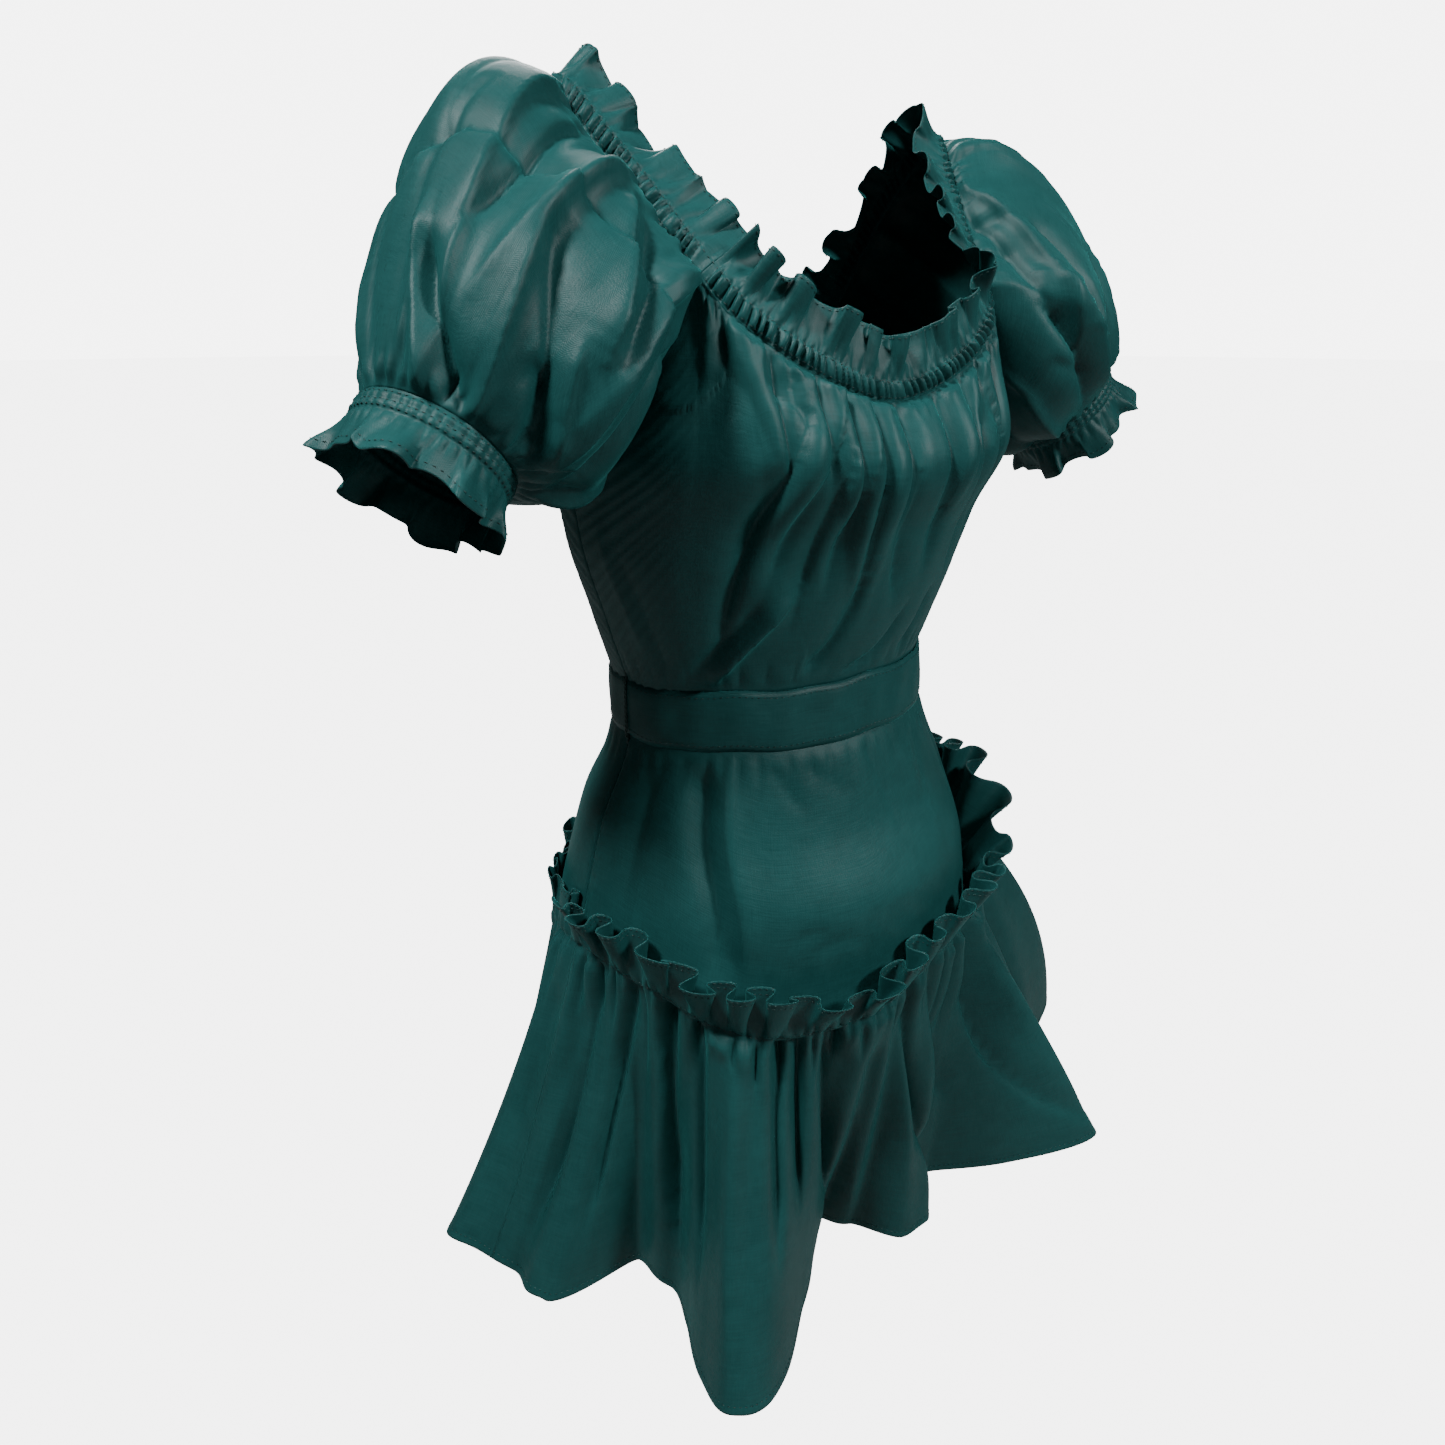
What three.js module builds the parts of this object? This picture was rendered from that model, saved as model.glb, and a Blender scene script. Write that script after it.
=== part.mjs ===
// A short taffeta dress with raglan puff sleeves, a gathered neckline with a standing frill,
// a belt, and a gathered flounce with a heading. It stands hollow, in the shape it has when worn.
// Millimetres. +Z is up, the front faces -Y and +X is the wearer's left.
// Heights are above the waist. The whole dress is lowered at the end, so that its origin is
// the point midway between the shoulders.
import * as THREE from 'three';

const SHOULDER_HEIGHT = 372;
const PANEL_WALL = 1.5;
const RUFFLE_WALL = 1.2;
// A steep fold is thickened along its wave, up to this cosine of its slope.
const STEEPEST = 0.45;
const SEAM_GAP = 0.3;
const CASING_GAP = 0.5;
const RAGLAN_GAP = 0.5;
const SIDE_SEAM_ANGLE = 90;
// Half gaps at the side seams, in degrees round the body.
const SKIRT_SIDE_GAP = 0.08;
const FLOUNCE_SIDE_GAP = 0.12;

const NECK_CASING_WIDTH = 12;
const NECK_FRILL_RISE = 26;
const NECK_FRILL_WAVES = 36;
const NECK_FRILL_DEPTH = 6;
// How far, and how slowly, the waves of a frill drift from even spacing.
const NECK_FRILL_DRIFT = { amount: 0.9, rate: 0.31 };
const HEADING_DRIFT = { amount: 0.8, rate: 0.25 };
// Half gap between two neck bands, in places of the neckline table.
const NECK_BAND_GAP = 0.006;

const UNDERARM_HEIGHT = 205;

const CUFF_CENTRE = { x: 268, y: -42, height: 185 };
const CUFF_AXIS = { x: 150, y: -48, z: -170 };
const CUFF_RADIUS = 44;
const CUFF_CASING_WIDTH = 12;
const CUFF_FRILL_LENGTH = 23;
const CUFF_FRILL_FLARE = 5;
const CUFF_FRILL_WAVES = 16;
const CUFF_FRILL_DEPTH = 4.5;
const SLEEVE_GATHERS = 12;
const SLEEVE_GATHER_DEPTH = 3.5;
// Shares of a sleeve's length over which its gathers rise, then fade.
const GATHERS_RISE = 0.15;
const GATHERS_FADE = [0.2, 0.6];

const BELT_WIDTH = 42;
const UNDER_BELT = BELT_WIDTH / 2 + 1;
const BODICE_ROWS = 7;
// Half gap at the bodice's side seams, as a share of half a panel.
const BODICE_SIDE_GAP = 0.001;
const SKIRT_ROWS = 5;
const LOOP_WIDTH = 5;
const LOOP_WALL = 1;
const LOOP_FOOT = 6;

const SKIRT_TURNING = 1;
const HEADING_HEIGHT = 42;
const HEADING_WAVES = 36;
// The folds of the heading are deeper where it stands further off, up to a limit.
const HEADING_FOLD = { least: 1.5, perStand: 0.6, most: 9 };
const SEAM_PINCH = 1;
const FLOUNCE_GATHER_DEPTH = 5;

const CLOTH = { color: 0x1d4a46, roughness: 0.45, metalness: 0 };

const table = (columns, rows) =>
  rows.map((row) => Object.fromEntries(columns.map((column, i) => [column, row[i]])));

// Half sizes of the body of the dress at each height.
const TORSO = table(['height', 'side', 'front', 'back'], [
  [-330, 206, 165, 178],
  [-260, 196, 157, 168],
  [-200, 183, 144, 150],
  [-140, 170, 141, 133],
  [-80, 153, 117, 117],
  [-30, 130, 102, 97],
  [0, 124, 88, 97],
  [60, 140, 107, 100],
  [120, 158, 126, 107],
  [170, 164, 149, 106],
  [220, 152, 125, 106],
  [290, 140, 95, 98],
]);

// The middle of the neck casing, from the centre front over the left shoulder to the centre back.
// Lean is how far the casing tips in towards the neck, and tip how much further the frill does,
// in degrees.
const NECKLINE = table(['x', 'y', 'height', 'lean', 'tip'], [
  [0, -113, 210, 2, 0],
  [59, -111, 226, 4, 4],
  [104, -96, 254, 10, 10],
  [115, -76, 276, 18, 20],
  [139, -23, 337, 35, 32],
  [156, 11, 372, 42, 16],
  [141, 44, 332, 35, 32],
  [119, 71, 266, 18, 20],
  [104, 84, 238, 10, 10],
  [57, 94, 214, 4, 4],
  [0, 97, 206, 2, 0],
]);
const FRONT_JUNCTION = 3;
const SHOULDER = 5;
const BACK_JUNCTION = 7;
const CENTRE_BACK = 10;

// Where the raglan seams bend on their way from the neckline to the underarm.
const RAGLAN_BEND = table(['x', 'y', 'height'], [
  [138, -72, 228],
  [136, 66, 230],
]);

// How the sleeve leaves the armhole and how far it swells, at turns from the shoulder forwards.
const SLEEVE_PUFF = table(['turn', 'out', 'back', 'up', 'cuffSwell', 'cuffReach'], [
  [0, 62, 0, 44, 30, 66],
  [60, 54, -30, 30, 50, 58],
  [120, 36, -54, -22, 58, 34],
  [180, 34, 0, -62, 52, 16],
  [240, 38, 50, -10, 40, 48],
  [300, 52, 38, 30, 18, 64],
]);

// Folds that fall from the neck casing. Angles are round the body, widths in degrees too.
const FRONT_FOLDS = table(['topAngle', 'lowAngle', 'top', 'low', 'width', 'depth'], [
  [-32, -56, 220, 40, 3.2, 4],
  [-26, -47, 214, 28, 3.4, 6],
  [-20, -37, 210, 28, 3, 5],
  [-14, -26, 208, 30, 2.6, 5],
  [-8, -18, 206, 40, 2.6, 5],
  [-2, -9, 206, 50, 2.4, 4.5],
  [4, 0, 206, 34, 2.6, 5],
  [10, 9, 208, 60, 2.4, 4.5],
  [16, 19, 210, 30, 2.8, 5],
  [23, 28, 214, 70, 2.8, 4],
]);
const BACK_FOLDS = table(['topAngle', 'lowAngle', 'top', 'low', 'width', 'depth'], [
  [150, 146, 206, 90, 3.2, 3.5],
  [158, 157, 202, 60, 3, 4],
  [167, 168, 200, 40, 3, 4],
  [176, 178, 198, 80, 2.8, 4],
  [185, 187, 198, 44, 3, 4],
  [194, 197, 200, 70, 3, 4],
  [203, 208, 204, 90, 3.2, 3.5],
]);
const SKIRT_FOLDS = table(['topAngle', 'lowAngle', 'top', 'low', 'width', 'depth'], [
  [-57, -40, -26, -190, 4, -5],
  [18, 26, -34, -130, 4, 2.5],
]);

// Where the flounce is gathered onto the skirt, and how far its heading stands off there.
const FLOUNCE_SEAM = table(['angle', 'height', 'stand'], [
  [-150, -184, 6],
  [-110, -177, 2],
  [-83, -171, 6],
  [-62, -182, 11],
  [-44, -206, 12],
  [-30, -217, 12],
  [-8, -218, 12],
  [8, -207, 12],
  [20, -201, 12],
  [40, -200, 15],
  [58, -172, 18],
  [78, -140, 20],
  [100, -140, 18],
  [130, -172, 12],
  [175, -185, 10],
]);

// The big flutes of the flounce: how far the hem stands out from the seam, how far it drops,
// and how far the flute bows out (or, below zero, hollows) on its way down.
const HEM_FLUTES = table(['angle', 'out', 'drop', 'bow'], [
  [-170, 74, 250, -0.3],
  [-160, 30, 256, -0.3],
  [-149, 14, 254, -0.3],
  [-140, 60, 248, -0.3],
  [-131, 66, 246, -0.3],
  [-122, 34, 252, -0.3],
  [-113, 26, 250, -0.3],
  [-105, 84, 240, -0.3],
  [-98, 110, 236, -0.3],
  [-87, 82, 250, -0.3],
  [-76, 80, 254, -0.3],
  [-67, 8, 256, -0.3],
  [-57, 10, 258, -0.3],
  [-50, 26, 262, -0.3],
  [-44, 64, 262, -0.3],
  [-36, 90, 254, -0.3],
  [-29, 60, 256, -0.3],
  [-22, 0, 262, -0.3],
  [-14, -34, 262, -0.3],
  [-5, -60, 258, -0.3],
  [3, -38, 262, -0.3],
  [9, 2, 262, -0.3],
  [16, 14, 262, -0.3],
  [24, -10, 258, -0.3],
  [30, -8, 256, -0.3],
  [36, 60, 250, 0.1],
  [42, 136, 232, 0.1],
  [52, 74, 240, 0.5],
  [61, 96, 236, 0.7],
  [71, 138, 236, 0.9],
  [82, 112, 240, 0.7],
  [93, 60, 246, 0.4],
  [104, 58, 250, 0.2],
  [114, 92, 246, -0.3],
  [125, 34, 254, -0.3],
  [135, 20, 256, -0.3],
  [145, 76, 250, -0.3],
  [154, 88, 248, -0.3],
  [164, 34, 256, -0.3],
  [177, 26, 256, -0.3],
  [184, 62, 252, -0.3],
]);

const radians = THREE.MathUtils.degToRad;
const degrees = THREE.MathUtils.radToDeg;
const vector = (x, y, z) => new THREE.Vector3(x, y, z);
const UP = vector(0, 0, 1);

function ease(value, start, end) {
  return THREE.MathUtils.smoothstep(value, start, end);
}

// A smooth curve through one column of a table that never swings past its rows.
// With a period, the table is closed on itself.
function smooth(rows, key, value, period = 0) {
  const points = rows.map((row) => [row[key], row[value]]);
  if (period) {
    const shifted = (list, by) => list.map(([x, y]) => [x + by, y]);
    points.unshift(...shifted(points.slice(-2), -period));
    points.push(...shifted(points.slice(2, 4), period));
  }
  const last = points.length - 1;
  const rise = points.slice(1).map(([x, y], i) => (y - points[i][1]) / (x - points[i][0]));
  const slopes = points.map((point, i) => {
    if (i === 0 || i === last) {
      return rise[Math.min(i, last - 1)];
    }
    const [before, after] = [rise[i - 1], rise[i]];
    return before * after <= 0 ? 0 : (2 * before * after) / (before + after);
  });
  return (at) => {
    const start = period ? points[2][0] : -Infinity;
    const x = period ? start + THREE.MathUtils.euclideanModulo(at - start, period) : at;
    let i = 0;
    while (i < last - 1 && x > points[i + 1][0]) {
      i += 1;
    }
    const width = points[i + 1][0] - points[i][0];
    const t = THREE.MathUtils.clamp((x - points[i][0]) / width, 0, 1);
    const flat = (1 + 2 * t) * (1 - t) ** 2;
    return (
      flat * points[i][1] +
      (1 - flat) * points[i + 1][1] +
      width * (t * (1 - t) ** 2 * slopes[i] - t * t * (1 - t) * slopes[i + 1])
    );
  };
}

const torsoSide = smooth(TORSO, 'height', 'side');
const torsoFront = smooth(TORSO, 'height', 'front');
const torsoBack = smooth(TORSO, 'height', 'back');
const seamHeight = smooth(FLOUNCE_SEAM, 'angle', 'height', 360);
const hemOut = smooth(HEM_FLUTES, 'angle', 'out', 360);
const hemDrop = smooth(HEM_FLUTES, 'angle', 'drop', 360);
const hemBow = smooth(HEM_FLUTES, 'angle', 'bow', 360);
const headingStand = smooth(FLOUNCE_SEAM, 'angle', 'stand', 360);

// A wave of -1 to 1, one for each turn, whose spacing drifts.
function driftingWave(turns, drift) {
  const even = 2 * Math.PI * turns;
  return Math.cos(even + drift.amount * Math.sin(even * drift.rate));
}

function torsoDepth(angle, height) {
  return Math.cos(radians(angle)) > 0 ? torsoFront(height) : torsoBack(height);
}

// A point on the body of the dress: angle 0 is the centre front, 90 the wearer's left side.
function torsoPoint(angle, height, out = 0) {
  const turn = radians(angle);
  const side = torsoSide(height) + out;
  const depth = torsoDepth(angle, height) + out;
  return vector(side * Math.sin(turn), -depth * Math.cos(turn), height);
}

function torsoAngle(point) {
  const depth = point.y < 0 ? torsoFront(point.z) : torsoBack(point.z);
  return degrees(Math.atan2(point.x / torsoSide(point.z), -point.y / depth));
}

function foldHeight(folds, angle, height) {
  return folds.reduce((sum, fold) => {
    const down = THREE.MathUtils.clamp((fold.top - height) / (fold.top - fold.low), 0, 1);
    const middle = THREE.MathUtils.lerp(fold.topAngle, fold.lowAngle, down);
    const width = fold.width * (1 + 0.7 * down);
    const turn = THREE.MathUtils.euclideanModulo(angle - middle + 180, 360) - 180;
    const ridge = Math.exp(-((turn / width) ** 2));
    const fadeIn = ease(fold.top - height, 0, 20);
    const fadeOut = ease(height, fold.low, fold.low + 40);
    return sum + fold.depth * ridge * fadeIn * fadeOut;
  }, 0);
}

// One closed wall. Its outer face runs through point(across, up), and its inner face lies
// one thickness behind it, or a little more along the waves that stand out in one direction.
// Where the wall is a tube, the columns close on themselves.
function wall({ name, columns, rows, point, thickness, waves, tube = false, flip = false }) {
  const sideStep = (columns[1] - columns[0]) / 4;
  const upStep = (rows.at(-1) - rows[0]) / 60;
  const normalAt = (across, up) => {
    const along = point(across + sideStep, up).sub(point(across - sideStep, up));
    const rise = point(across, up + upStep).sub(point(across, up - upStep));
    const normal = along.cross(rise).normalize();
    return flip ? normal.negate() : normal;
  };
  const inwardAt = (across, up) => {
    const normal = normalAt(across, up);
    if (!waves) {
      return normal.multiplyScalar(-thickness);
    }
    const direction = waves(across, up);
    const facing = Math.max(normal.dot(direction), STEEPEST);
    return direction.multiplyScalar(-thickness / facing);
  };
  const outer = [];
  const inner = [];
  rows.forEach((up) => {
    columns.forEach((across) => {
      const at = point(across, up);
      outer.push(at);
      inner.push(at.clone().add(inwardAt(across, up)));
    });
  });
  const count = columns.length;
  const index = [];
  // Inner quads are split along the same diagonal as outer ones, so that the two never cross.
  const quad = (a, b, c, d, isInner = false) => {
    index.push(...(flip !== isInner ? [a, c, b, a, d, c] : [a, b, c, a, c, d]));
  };
  const back = outer.length;
  const steps = tube ? count : count - 1;
  for (let row = 0; row < rows.length - 1; row += 1) {
    for (let column = 0; column < steps; column += 1) {
      const next = (column + 1) % count;
      const [a, b] = [row * count + column, row * count + next];
      const [c, d] = [b + count, a + count];
      quad(a, b, c, d);
      quad(back + a, back + b, back + c, back + d, true);
    }
  }
  const top = (rows.length - 1) * count;
  for (let column = 0; column < steps; column += 1) {
    const next = (column + 1) % count;
    quad(next, column, back + column, back + next);
    quad(top + column, top + next, back + top + next, back + top + column);
  }
  for (let row = 0; row < rows.length - 1 && !tube; row += 1) {
    const [a, d] = [row * count, (row + 1) * count];
    const [b, c] = [a + count - 1, d + count - 1];
    quad(a, d, back + d, back + a);
    quad(c, b, back + b, back + c);
  }
  const geometry = new THREE.BufferGeometry().setFromPoints([...outer, ...inner]);
  geometry.setIndex(index);
  geometry.computeVertexNormals();
  const mesh = new THREE.Mesh(geometry, new THREE.MeshStandardMaterial(CLOTH));
  mesh.name = name;
  return mesh;
}

function spread(start, end, steps) {
  return Array.from({ length: steps + 1 }, (_, i) => start + ((end - start) * i) / steps);
}

// The neckline is one closed loop through the table and its mirror image.
const HALF_NECK = NECKLINE.map((row) => vector(row.x, row.y, row.height));
const OTHER_HALF = HALF_NECK.slice(1, -1).reverse().map((p) => vector(-p.x, p.y, p.z));
const neckCurve = new THREE.CatmullRomCurve3([...HALF_NECK, ...OTHER_HALF], true, 'centripetal');
const NECK_ROWS = 2 * CENTRE_BACK;
const NECK_TIPS = NECKLINE.map((row, place) => ({ place, lean: row.lean, tip: row.tip }));
const leanAt = smooth(NECK_TIPS, 'place', 'lean');
const tipAt = smooth(NECK_TIPS, 'place', 'tip');

// Place 0 is the centre front, 5 the left shoulder, 10 the centre back, 15 the right shoulder.
function neckFrame(place) {
  const t = THREE.MathUtils.euclideanModulo(place / NECK_ROWS, 1);
  const middle = neckCurve.getPoint(t);
  const along = neckCurve.getTangent(t);
  const halfPlace = Math.min(t, 1 - t) * NECK_ROWS;
  const inward = vector(-middle.x, -middle.y, 0).normalize();
  const lean = radians(leanAt(halfPlace));
  const rise = UP.clone().multiplyScalar(Math.cos(lean)).addScaledVector(inward, Math.sin(lean));
  rise.addScaledVector(along, -rise.dot(along)).normalize();
  return { middle, rise, out: along.clone().cross(rise).normalize(), tip: radians(tipAt(halfPlace)) };
}

function neckPoint(place, up) {
  const { middle, rise } = neckFrame(place);
  return middle.addScaledVector(rise, up);
}

// How far round the neckline a place is, from 0 to 1, by length.
const NECK_STEPS = 20;
const neckLengths = neckCurve.getLengths(NECK_ROWS * NECK_STEPS);
const neckShare = smooth(
  neckLengths.map((length, i) => ({ place: i / NECK_STEPS, share: length / neckLengths.at(-1) })),
  'place',
  'share',
);

function frillWave(share) {
  const turns = NECK_FRILL_WAVES * share;
  return driftingWave(turns, NECK_FRILL_DRIFT);
}

// The casing lies along the neckline. Above it the frill tips inwards and waves.
function neckBandPoint(place, up) {
  const { middle, rise, out, tip } = neckFrame(place);
  const casing = NECK_CASING_WIDTH / 2;
  const frill = Math.max(up - casing, 0);
  const share = neckShare(THREE.MathUtils.euclideanModulo(place, NECK_ROWS));
  const wave = NECK_FRILL_DEPTH * ease(frill, 0, NECK_FRILL_RISE) * frillWave(share);
  return middle
    .addScaledVector(rise, Math.min(up, casing) + frill * Math.cos(tip) + wave * Math.sin(tip))
    .addScaledVector(out, wave * Math.cos(tip) - frill * Math.sin(tip));
}

// The frill waves square to itself, and the wall at its foot halves the bend.
function neckWaves(place, up) {
  const { rise, out, tip } = neckFrame(place);
  const bend = tip * ease(up, 0, NECK_CASING_WIDTH);
  return out.multiplyScalar(Math.cos(bend)).addScaledVector(rise, Math.sin(bend));
}

function neckBand(name, start, end, folds) {
  const casing = NECK_CASING_WIDTH / 2;
  return wall({
    name,
    columns: spread(start + NECK_BAND_GAP, end - NECK_BAND_GAP, folds * 4),
    rows: [-casing, casing, casing + NECK_FRILL_RISE],
    point: neckBandPoint,
    thickness: RUFFLE_WALL,
    waves: neckWaves,
  });
}

// The raglan seam from the neckline (0) to the underarm (1). Side moves it off the seam,
// towards the sleeve.
function raglanPoint(isBack, share, side) {
  const junction = neckPoint(isBack ? BACK_JUNCTION : FRONT_JUNCTION, -NECK_CASING_WIDTH / 2 - CASING_GAP);
  const bend = RAGLAN_BEND[isBack ? 1 : 0];
  const underarm = torsoPoint(SIDE_SEAM_ANGLE, UNDERARM_HEIGHT);
  const seam = new THREE.QuadraticBezierCurve3(
    junction,
    vector(bend.x, bend.y, bend.height),
    underarm,
  );
  const at = seam.getPoint(share);
  const along = seam.getTangent(share);
  const outward = vector(at.x, at.y, 0).normalize();
  const across = along.clone().cross(outward).normalize();
  if (across.dot(vector(1, 0, 1)) < 0) {
    across.negate();
  }
  return at.addScaledVector(across, side);
}

// The share of a bodice panel's upper edge that lies along the neckline.
const NECK_PART = 0.64;

// The upper edge of a bodice panel, from one underarm (-1) to the other (1).
function bodiceEdge(isBack, across) {
  const reach = Math.abs(across);
  const mirror = across < 0 ? -1 : 1;
  let edge;
  if (reach <= NECK_PART) {
    const junction = isBack ? BACK_JUNCTION : FRONT_JUNCTION;
    const centre = isBack ? CENTRE_BACK : 0;
    const place = THREE.MathUtils.lerp(centre, junction, reach / NECK_PART);
    edge = neckPoint(place, -NECK_CASING_WIDTH / 2 - CASING_GAP);
  } else {
    edge = raglanPoint(isBack, (reach - NECK_PART) / (1 - NECK_PART), -RAGLAN_GAP / 2);
  }
  edge.x *= mirror;
  return edge;
}

// Degrees round the body for each step of across beyond the side seams.
const PAST_SEAM = 60;
// How late a bodice panel's columns turn in from the side seams, and from where it rises off
// the body to meet its upper edge.
const TURN_IN = 1.4;
const MEET_START = 0.45;

// Up runs from the waist under the belt (-1), over the belt's edge (0), to the upper edge (1).
function bodicePoint(isBack, folds, across, up) {
  const clamped = THREE.MathUtils.clamp(across, -1, 1);
  const edge = bodiceEdge(isBack, clamped);
  const seam = SIDE_SEAM_ANGLE * across;
  const lowAngle = isBack ? 180 - seam : seam;
  const raw = torsoAngle(edge) + (across - clamped) * (isBack ? -PAST_SEAM : PAST_SEAM);
  const edgeAngle = isBack && raw < 0 ? raw + 360 : raw;
  const share = Math.max(up, 0);
  const turnIn = ease(share, 0, TURN_IN) / ease(1, 0, TURN_IN);
  const angle = THREE.MathUtils.lerp(lowAngle, edgeAngle, turnIn);
  const height =
    up < 0
      ? THREE.MathUtils.lerp(UNDER_BELT, SEAM_GAP / 2, -up)
      : THREE.MathUtils.lerp(UNDER_BELT, edge.z, up);
  const body = torsoPoint(angle, height);
  const swell = foldHeight(folds, angle, height);
  const outward = vector(body.x, body.y, 0).normalize();
  const meet = edge.sub(torsoPoint(edgeAngle, edge.z));
  return body.addScaledVector(meet, ease(share, MEET_START, 1)).addScaledVector(outward, swell);
}

function bodicePanel(name, isBack, folds, steps) {
  const edge = 1 - BODICE_SIDE_GAP;
  return wall({
    name,
    columns: spread(-edge, edge, steps),
    rows: [-1, ...spread(0, 1, BODICE_ROWS)],
    point: (across, up) => bodicePoint(isBack, folds, across, up),
    thickness: PANEL_WALL,
    flip: isBack,
  });
}

// The sleeve runs from the armhole loop to the cuff ring. Turn 0 is at the shoulder, 90 in front.
const cuffCentre = vector(CUFF_CENTRE.x, CUFF_CENTRE.y, CUFF_CENTRE.height);
const armDirection = vector(CUFF_AXIS.x, CUFF_AXIS.y, CUFF_AXIS.z).normalize();
const cuffTop = vector(1, 0, 1).addScaledVector(armDirection, -vector(1, 0, 1).dot(armDirection));
cuffTop.normalize();
const cuffFront = armDirection.clone().cross(cuffTop).normalize();
if (cuffFront.y > 0) {
  cuffFront.negate();
}

function cuffRadial(turn) {
  const angle = radians(turn);
  return cuffTop.clone().multiplyScalar(Math.cos(angle)).addScaledVector(cuffFront, Math.sin(angle));
}

function armholePoint(turn) {
  const quarter = THREE.MathUtils.euclideanModulo(turn, 360) / 90;
  const below = -NECK_CASING_WIDTH / 2 - CASING_GAP;
  if (quarter <= 1) {
    return neckPoint(THREE.MathUtils.lerp(SHOULDER, FRONT_JUNCTION, quarter), below);
  }
  if (quarter <= 2) {
    return raglanPoint(false, quarter - 1, RAGLAN_GAP / 2);
  }
  if (quarter <= 3) {
    return raglanPoint(true, 3 - quarter, RAGLAN_GAP / 2);
  }
  return neckPoint(THREE.MathUtils.lerp(BACK_JUNCTION, SHOULDER, quarter - 3), below);
}

const puffColumn = (column) => smooth(SLEEVE_PUFF, 'turn', column, 360);
const puffOut = puffColumn('out');
const puffBack = puffColumn('back');
const puffUp = puffColumn('up');
const cuffSwell = puffColumn('cuffSwell');
const cuffReach = puffColumn('cuffReach');

function sleevePoint(turn, along) {
  const start = armholePoint(turn);
  const radial = cuffRadial(turn);
  const end = cuffCentre
    .clone()
    .addScaledVector(armDirection, -CUFF_CASING_WIDTH / 2 - SEAM_GAP)
    .addScaledVector(radial, CUFF_RADIUS);
  const leave = start.clone().add(vector(puffOut(turn), puffBack(turn), puffUp(turn)));
  const arrive = end
    .clone()
    .addScaledVector(radial, cuffSwell(turn))
    .addScaledVector(armDirection, -cuffReach(turn));
  const at = new THREE.CubicBezierCurve3(start, leave, arrive, end).getPoint(along);
  const neckSide = ease(Math.cos(radians(turn)), -0.1, 0.3);
  const gathered = (share) => ease(share, 0, GATHERS_RISE) * (1 - ease(share, ...GATHERS_FADE));
  const wave = Math.cos(radians(turn * SLEEVE_GATHERS));
  const depth = SLEEVE_GATHER_DEPTH * (gathered(along) * neckSide + gathered(1 - along));
  return at.addScaledVector(radial, depth * wave);
}

function sleeve(name, mirror) {
  return wall({
    name,
    columns: spread(0, 360, SLEEVE_GATHERS * 4).slice(0, -1),
    rows: [0, 0.1, 0.24, 0.42, 0.6, 0.76, 0.9, 1],
    point: (turn, along) => {
      const at = sleevePoint(turn, along);
      at.x *= mirror;
      return at;
    },
    thickness: PANEL_WALL,
    tube: true,
    flip: mirror < 0,
  });
}

function cuffPoint(turn, along, mirror) {
  const standing = ease(along, CUFF_CASING_WIDTH / 2, CUFF_CASING_WIDTH / 2 + CUFF_FRILL_LENGTH);
  const wave = Math.cos(radians(turn * CUFF_FRILL_WAVES));
  const radius = CUFF_RADIUS + standing * (CUFF_FRILL_FLARE + CUFF_FRILL_DEPTH * wave);
  const at = cuffCentre
    .clone()
    .addScaledVector(armDirection, along)
    .addScaledVector(cuffRadial(turn), radius);
  at.x *= mirror;
  return at;
}

function cuffBand(name, mirror) {
  const casing = CUFF_CASING_WIDTH / 2;
  return wall({
    name,
    columns: spread(0, 360, CUFF_FRILL_WAVES * 4).slice(0, -1),
    rows: [-casing, casing, casing + CUFF_FRILL_LENGTH],
    point: (turn, along) => cuffPoint(turn, along, mirror),
    thickness: RUFFLE_WALL,
    waves: (turn) => cuffRadial(turn).multiply(vector(mirror, 1, 1)),
    tube: true,
    flip: mirror < 0,
  });
}

const BELT_OUT = 2 * SEAM_GAP + PANEL_WALL;

// The belt is flat from its lower edge to its upper one.
function beltPoint(angle, height, out = 0) {
  const low = torsoPoint(angle, -BELT_WIDTH / 2, BELT_OUT + out);
  const high = torsoPoint(angle, BELT_WIDTH / 2, BELT_OUT + out);
  return low.lerp(high, height / BELT_WIDTH + 0.5);
}

function belt() {
  return wall({
    name: 'belt',
    columns: spread(-180, 180, 48).slice(0, -1),
    rows: [-BELT_WIDTH / 2, BELT_WIDTH / 2],
    point: beltPoint,
    thickness: PANEL_WALL,
    tube: true,
  });
}

function beltLoop(name, side) {
  const onCloth = 3 * SEAM_GAP + LOOP_WALL;
  const halfAngle = degrees(LOOP_WIDTH / 2 / torsoSide(0));
  const edge = BELT_WIDTH / 2;
  const foot = edge + LOOP_FOOT;
  return wall({
    name,
    columns: [side * SIDE_SEAM_ANGLE - halfAngle, side * SIDE_SEAM_ANGLE + halfAngle],
    rows: [-foot, -edge - 3, -edge - 1, 0, edge + 1, edge + 3, foot],
    point: (angle, height) => {
      const clear = 1 - ease(Math.abs(height), edge + 1, edge + 3);
      const low = torsoPoint(angle, height, onCloth);
      return low.lerp(beltPoint(angle, height, SEAM_GAP + LOOP_WALL), clear);
    },
    thickness: LOOP_WALL,
  });
}

// Up runs from the skirt's lower edge (0), just over the flounce seam, to the belt (1) and
// on to the waist under it (2).
function skirtPoint(angle, up) {
  const low = seamHeight(angle) + SKIRT_TURNING;
  const height =
    up < 1
      ? THREE.MathUtils.lerp(low, -UNDER_BELT, up)
      : THREE.MathUtils.lerp(-UNDER_BELT, -SEAM_GAP / 2, up - 1);
  return torsoPoint(angle, height, foldHeight(SKIRT_FOLDS, angle, height));
}

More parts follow.
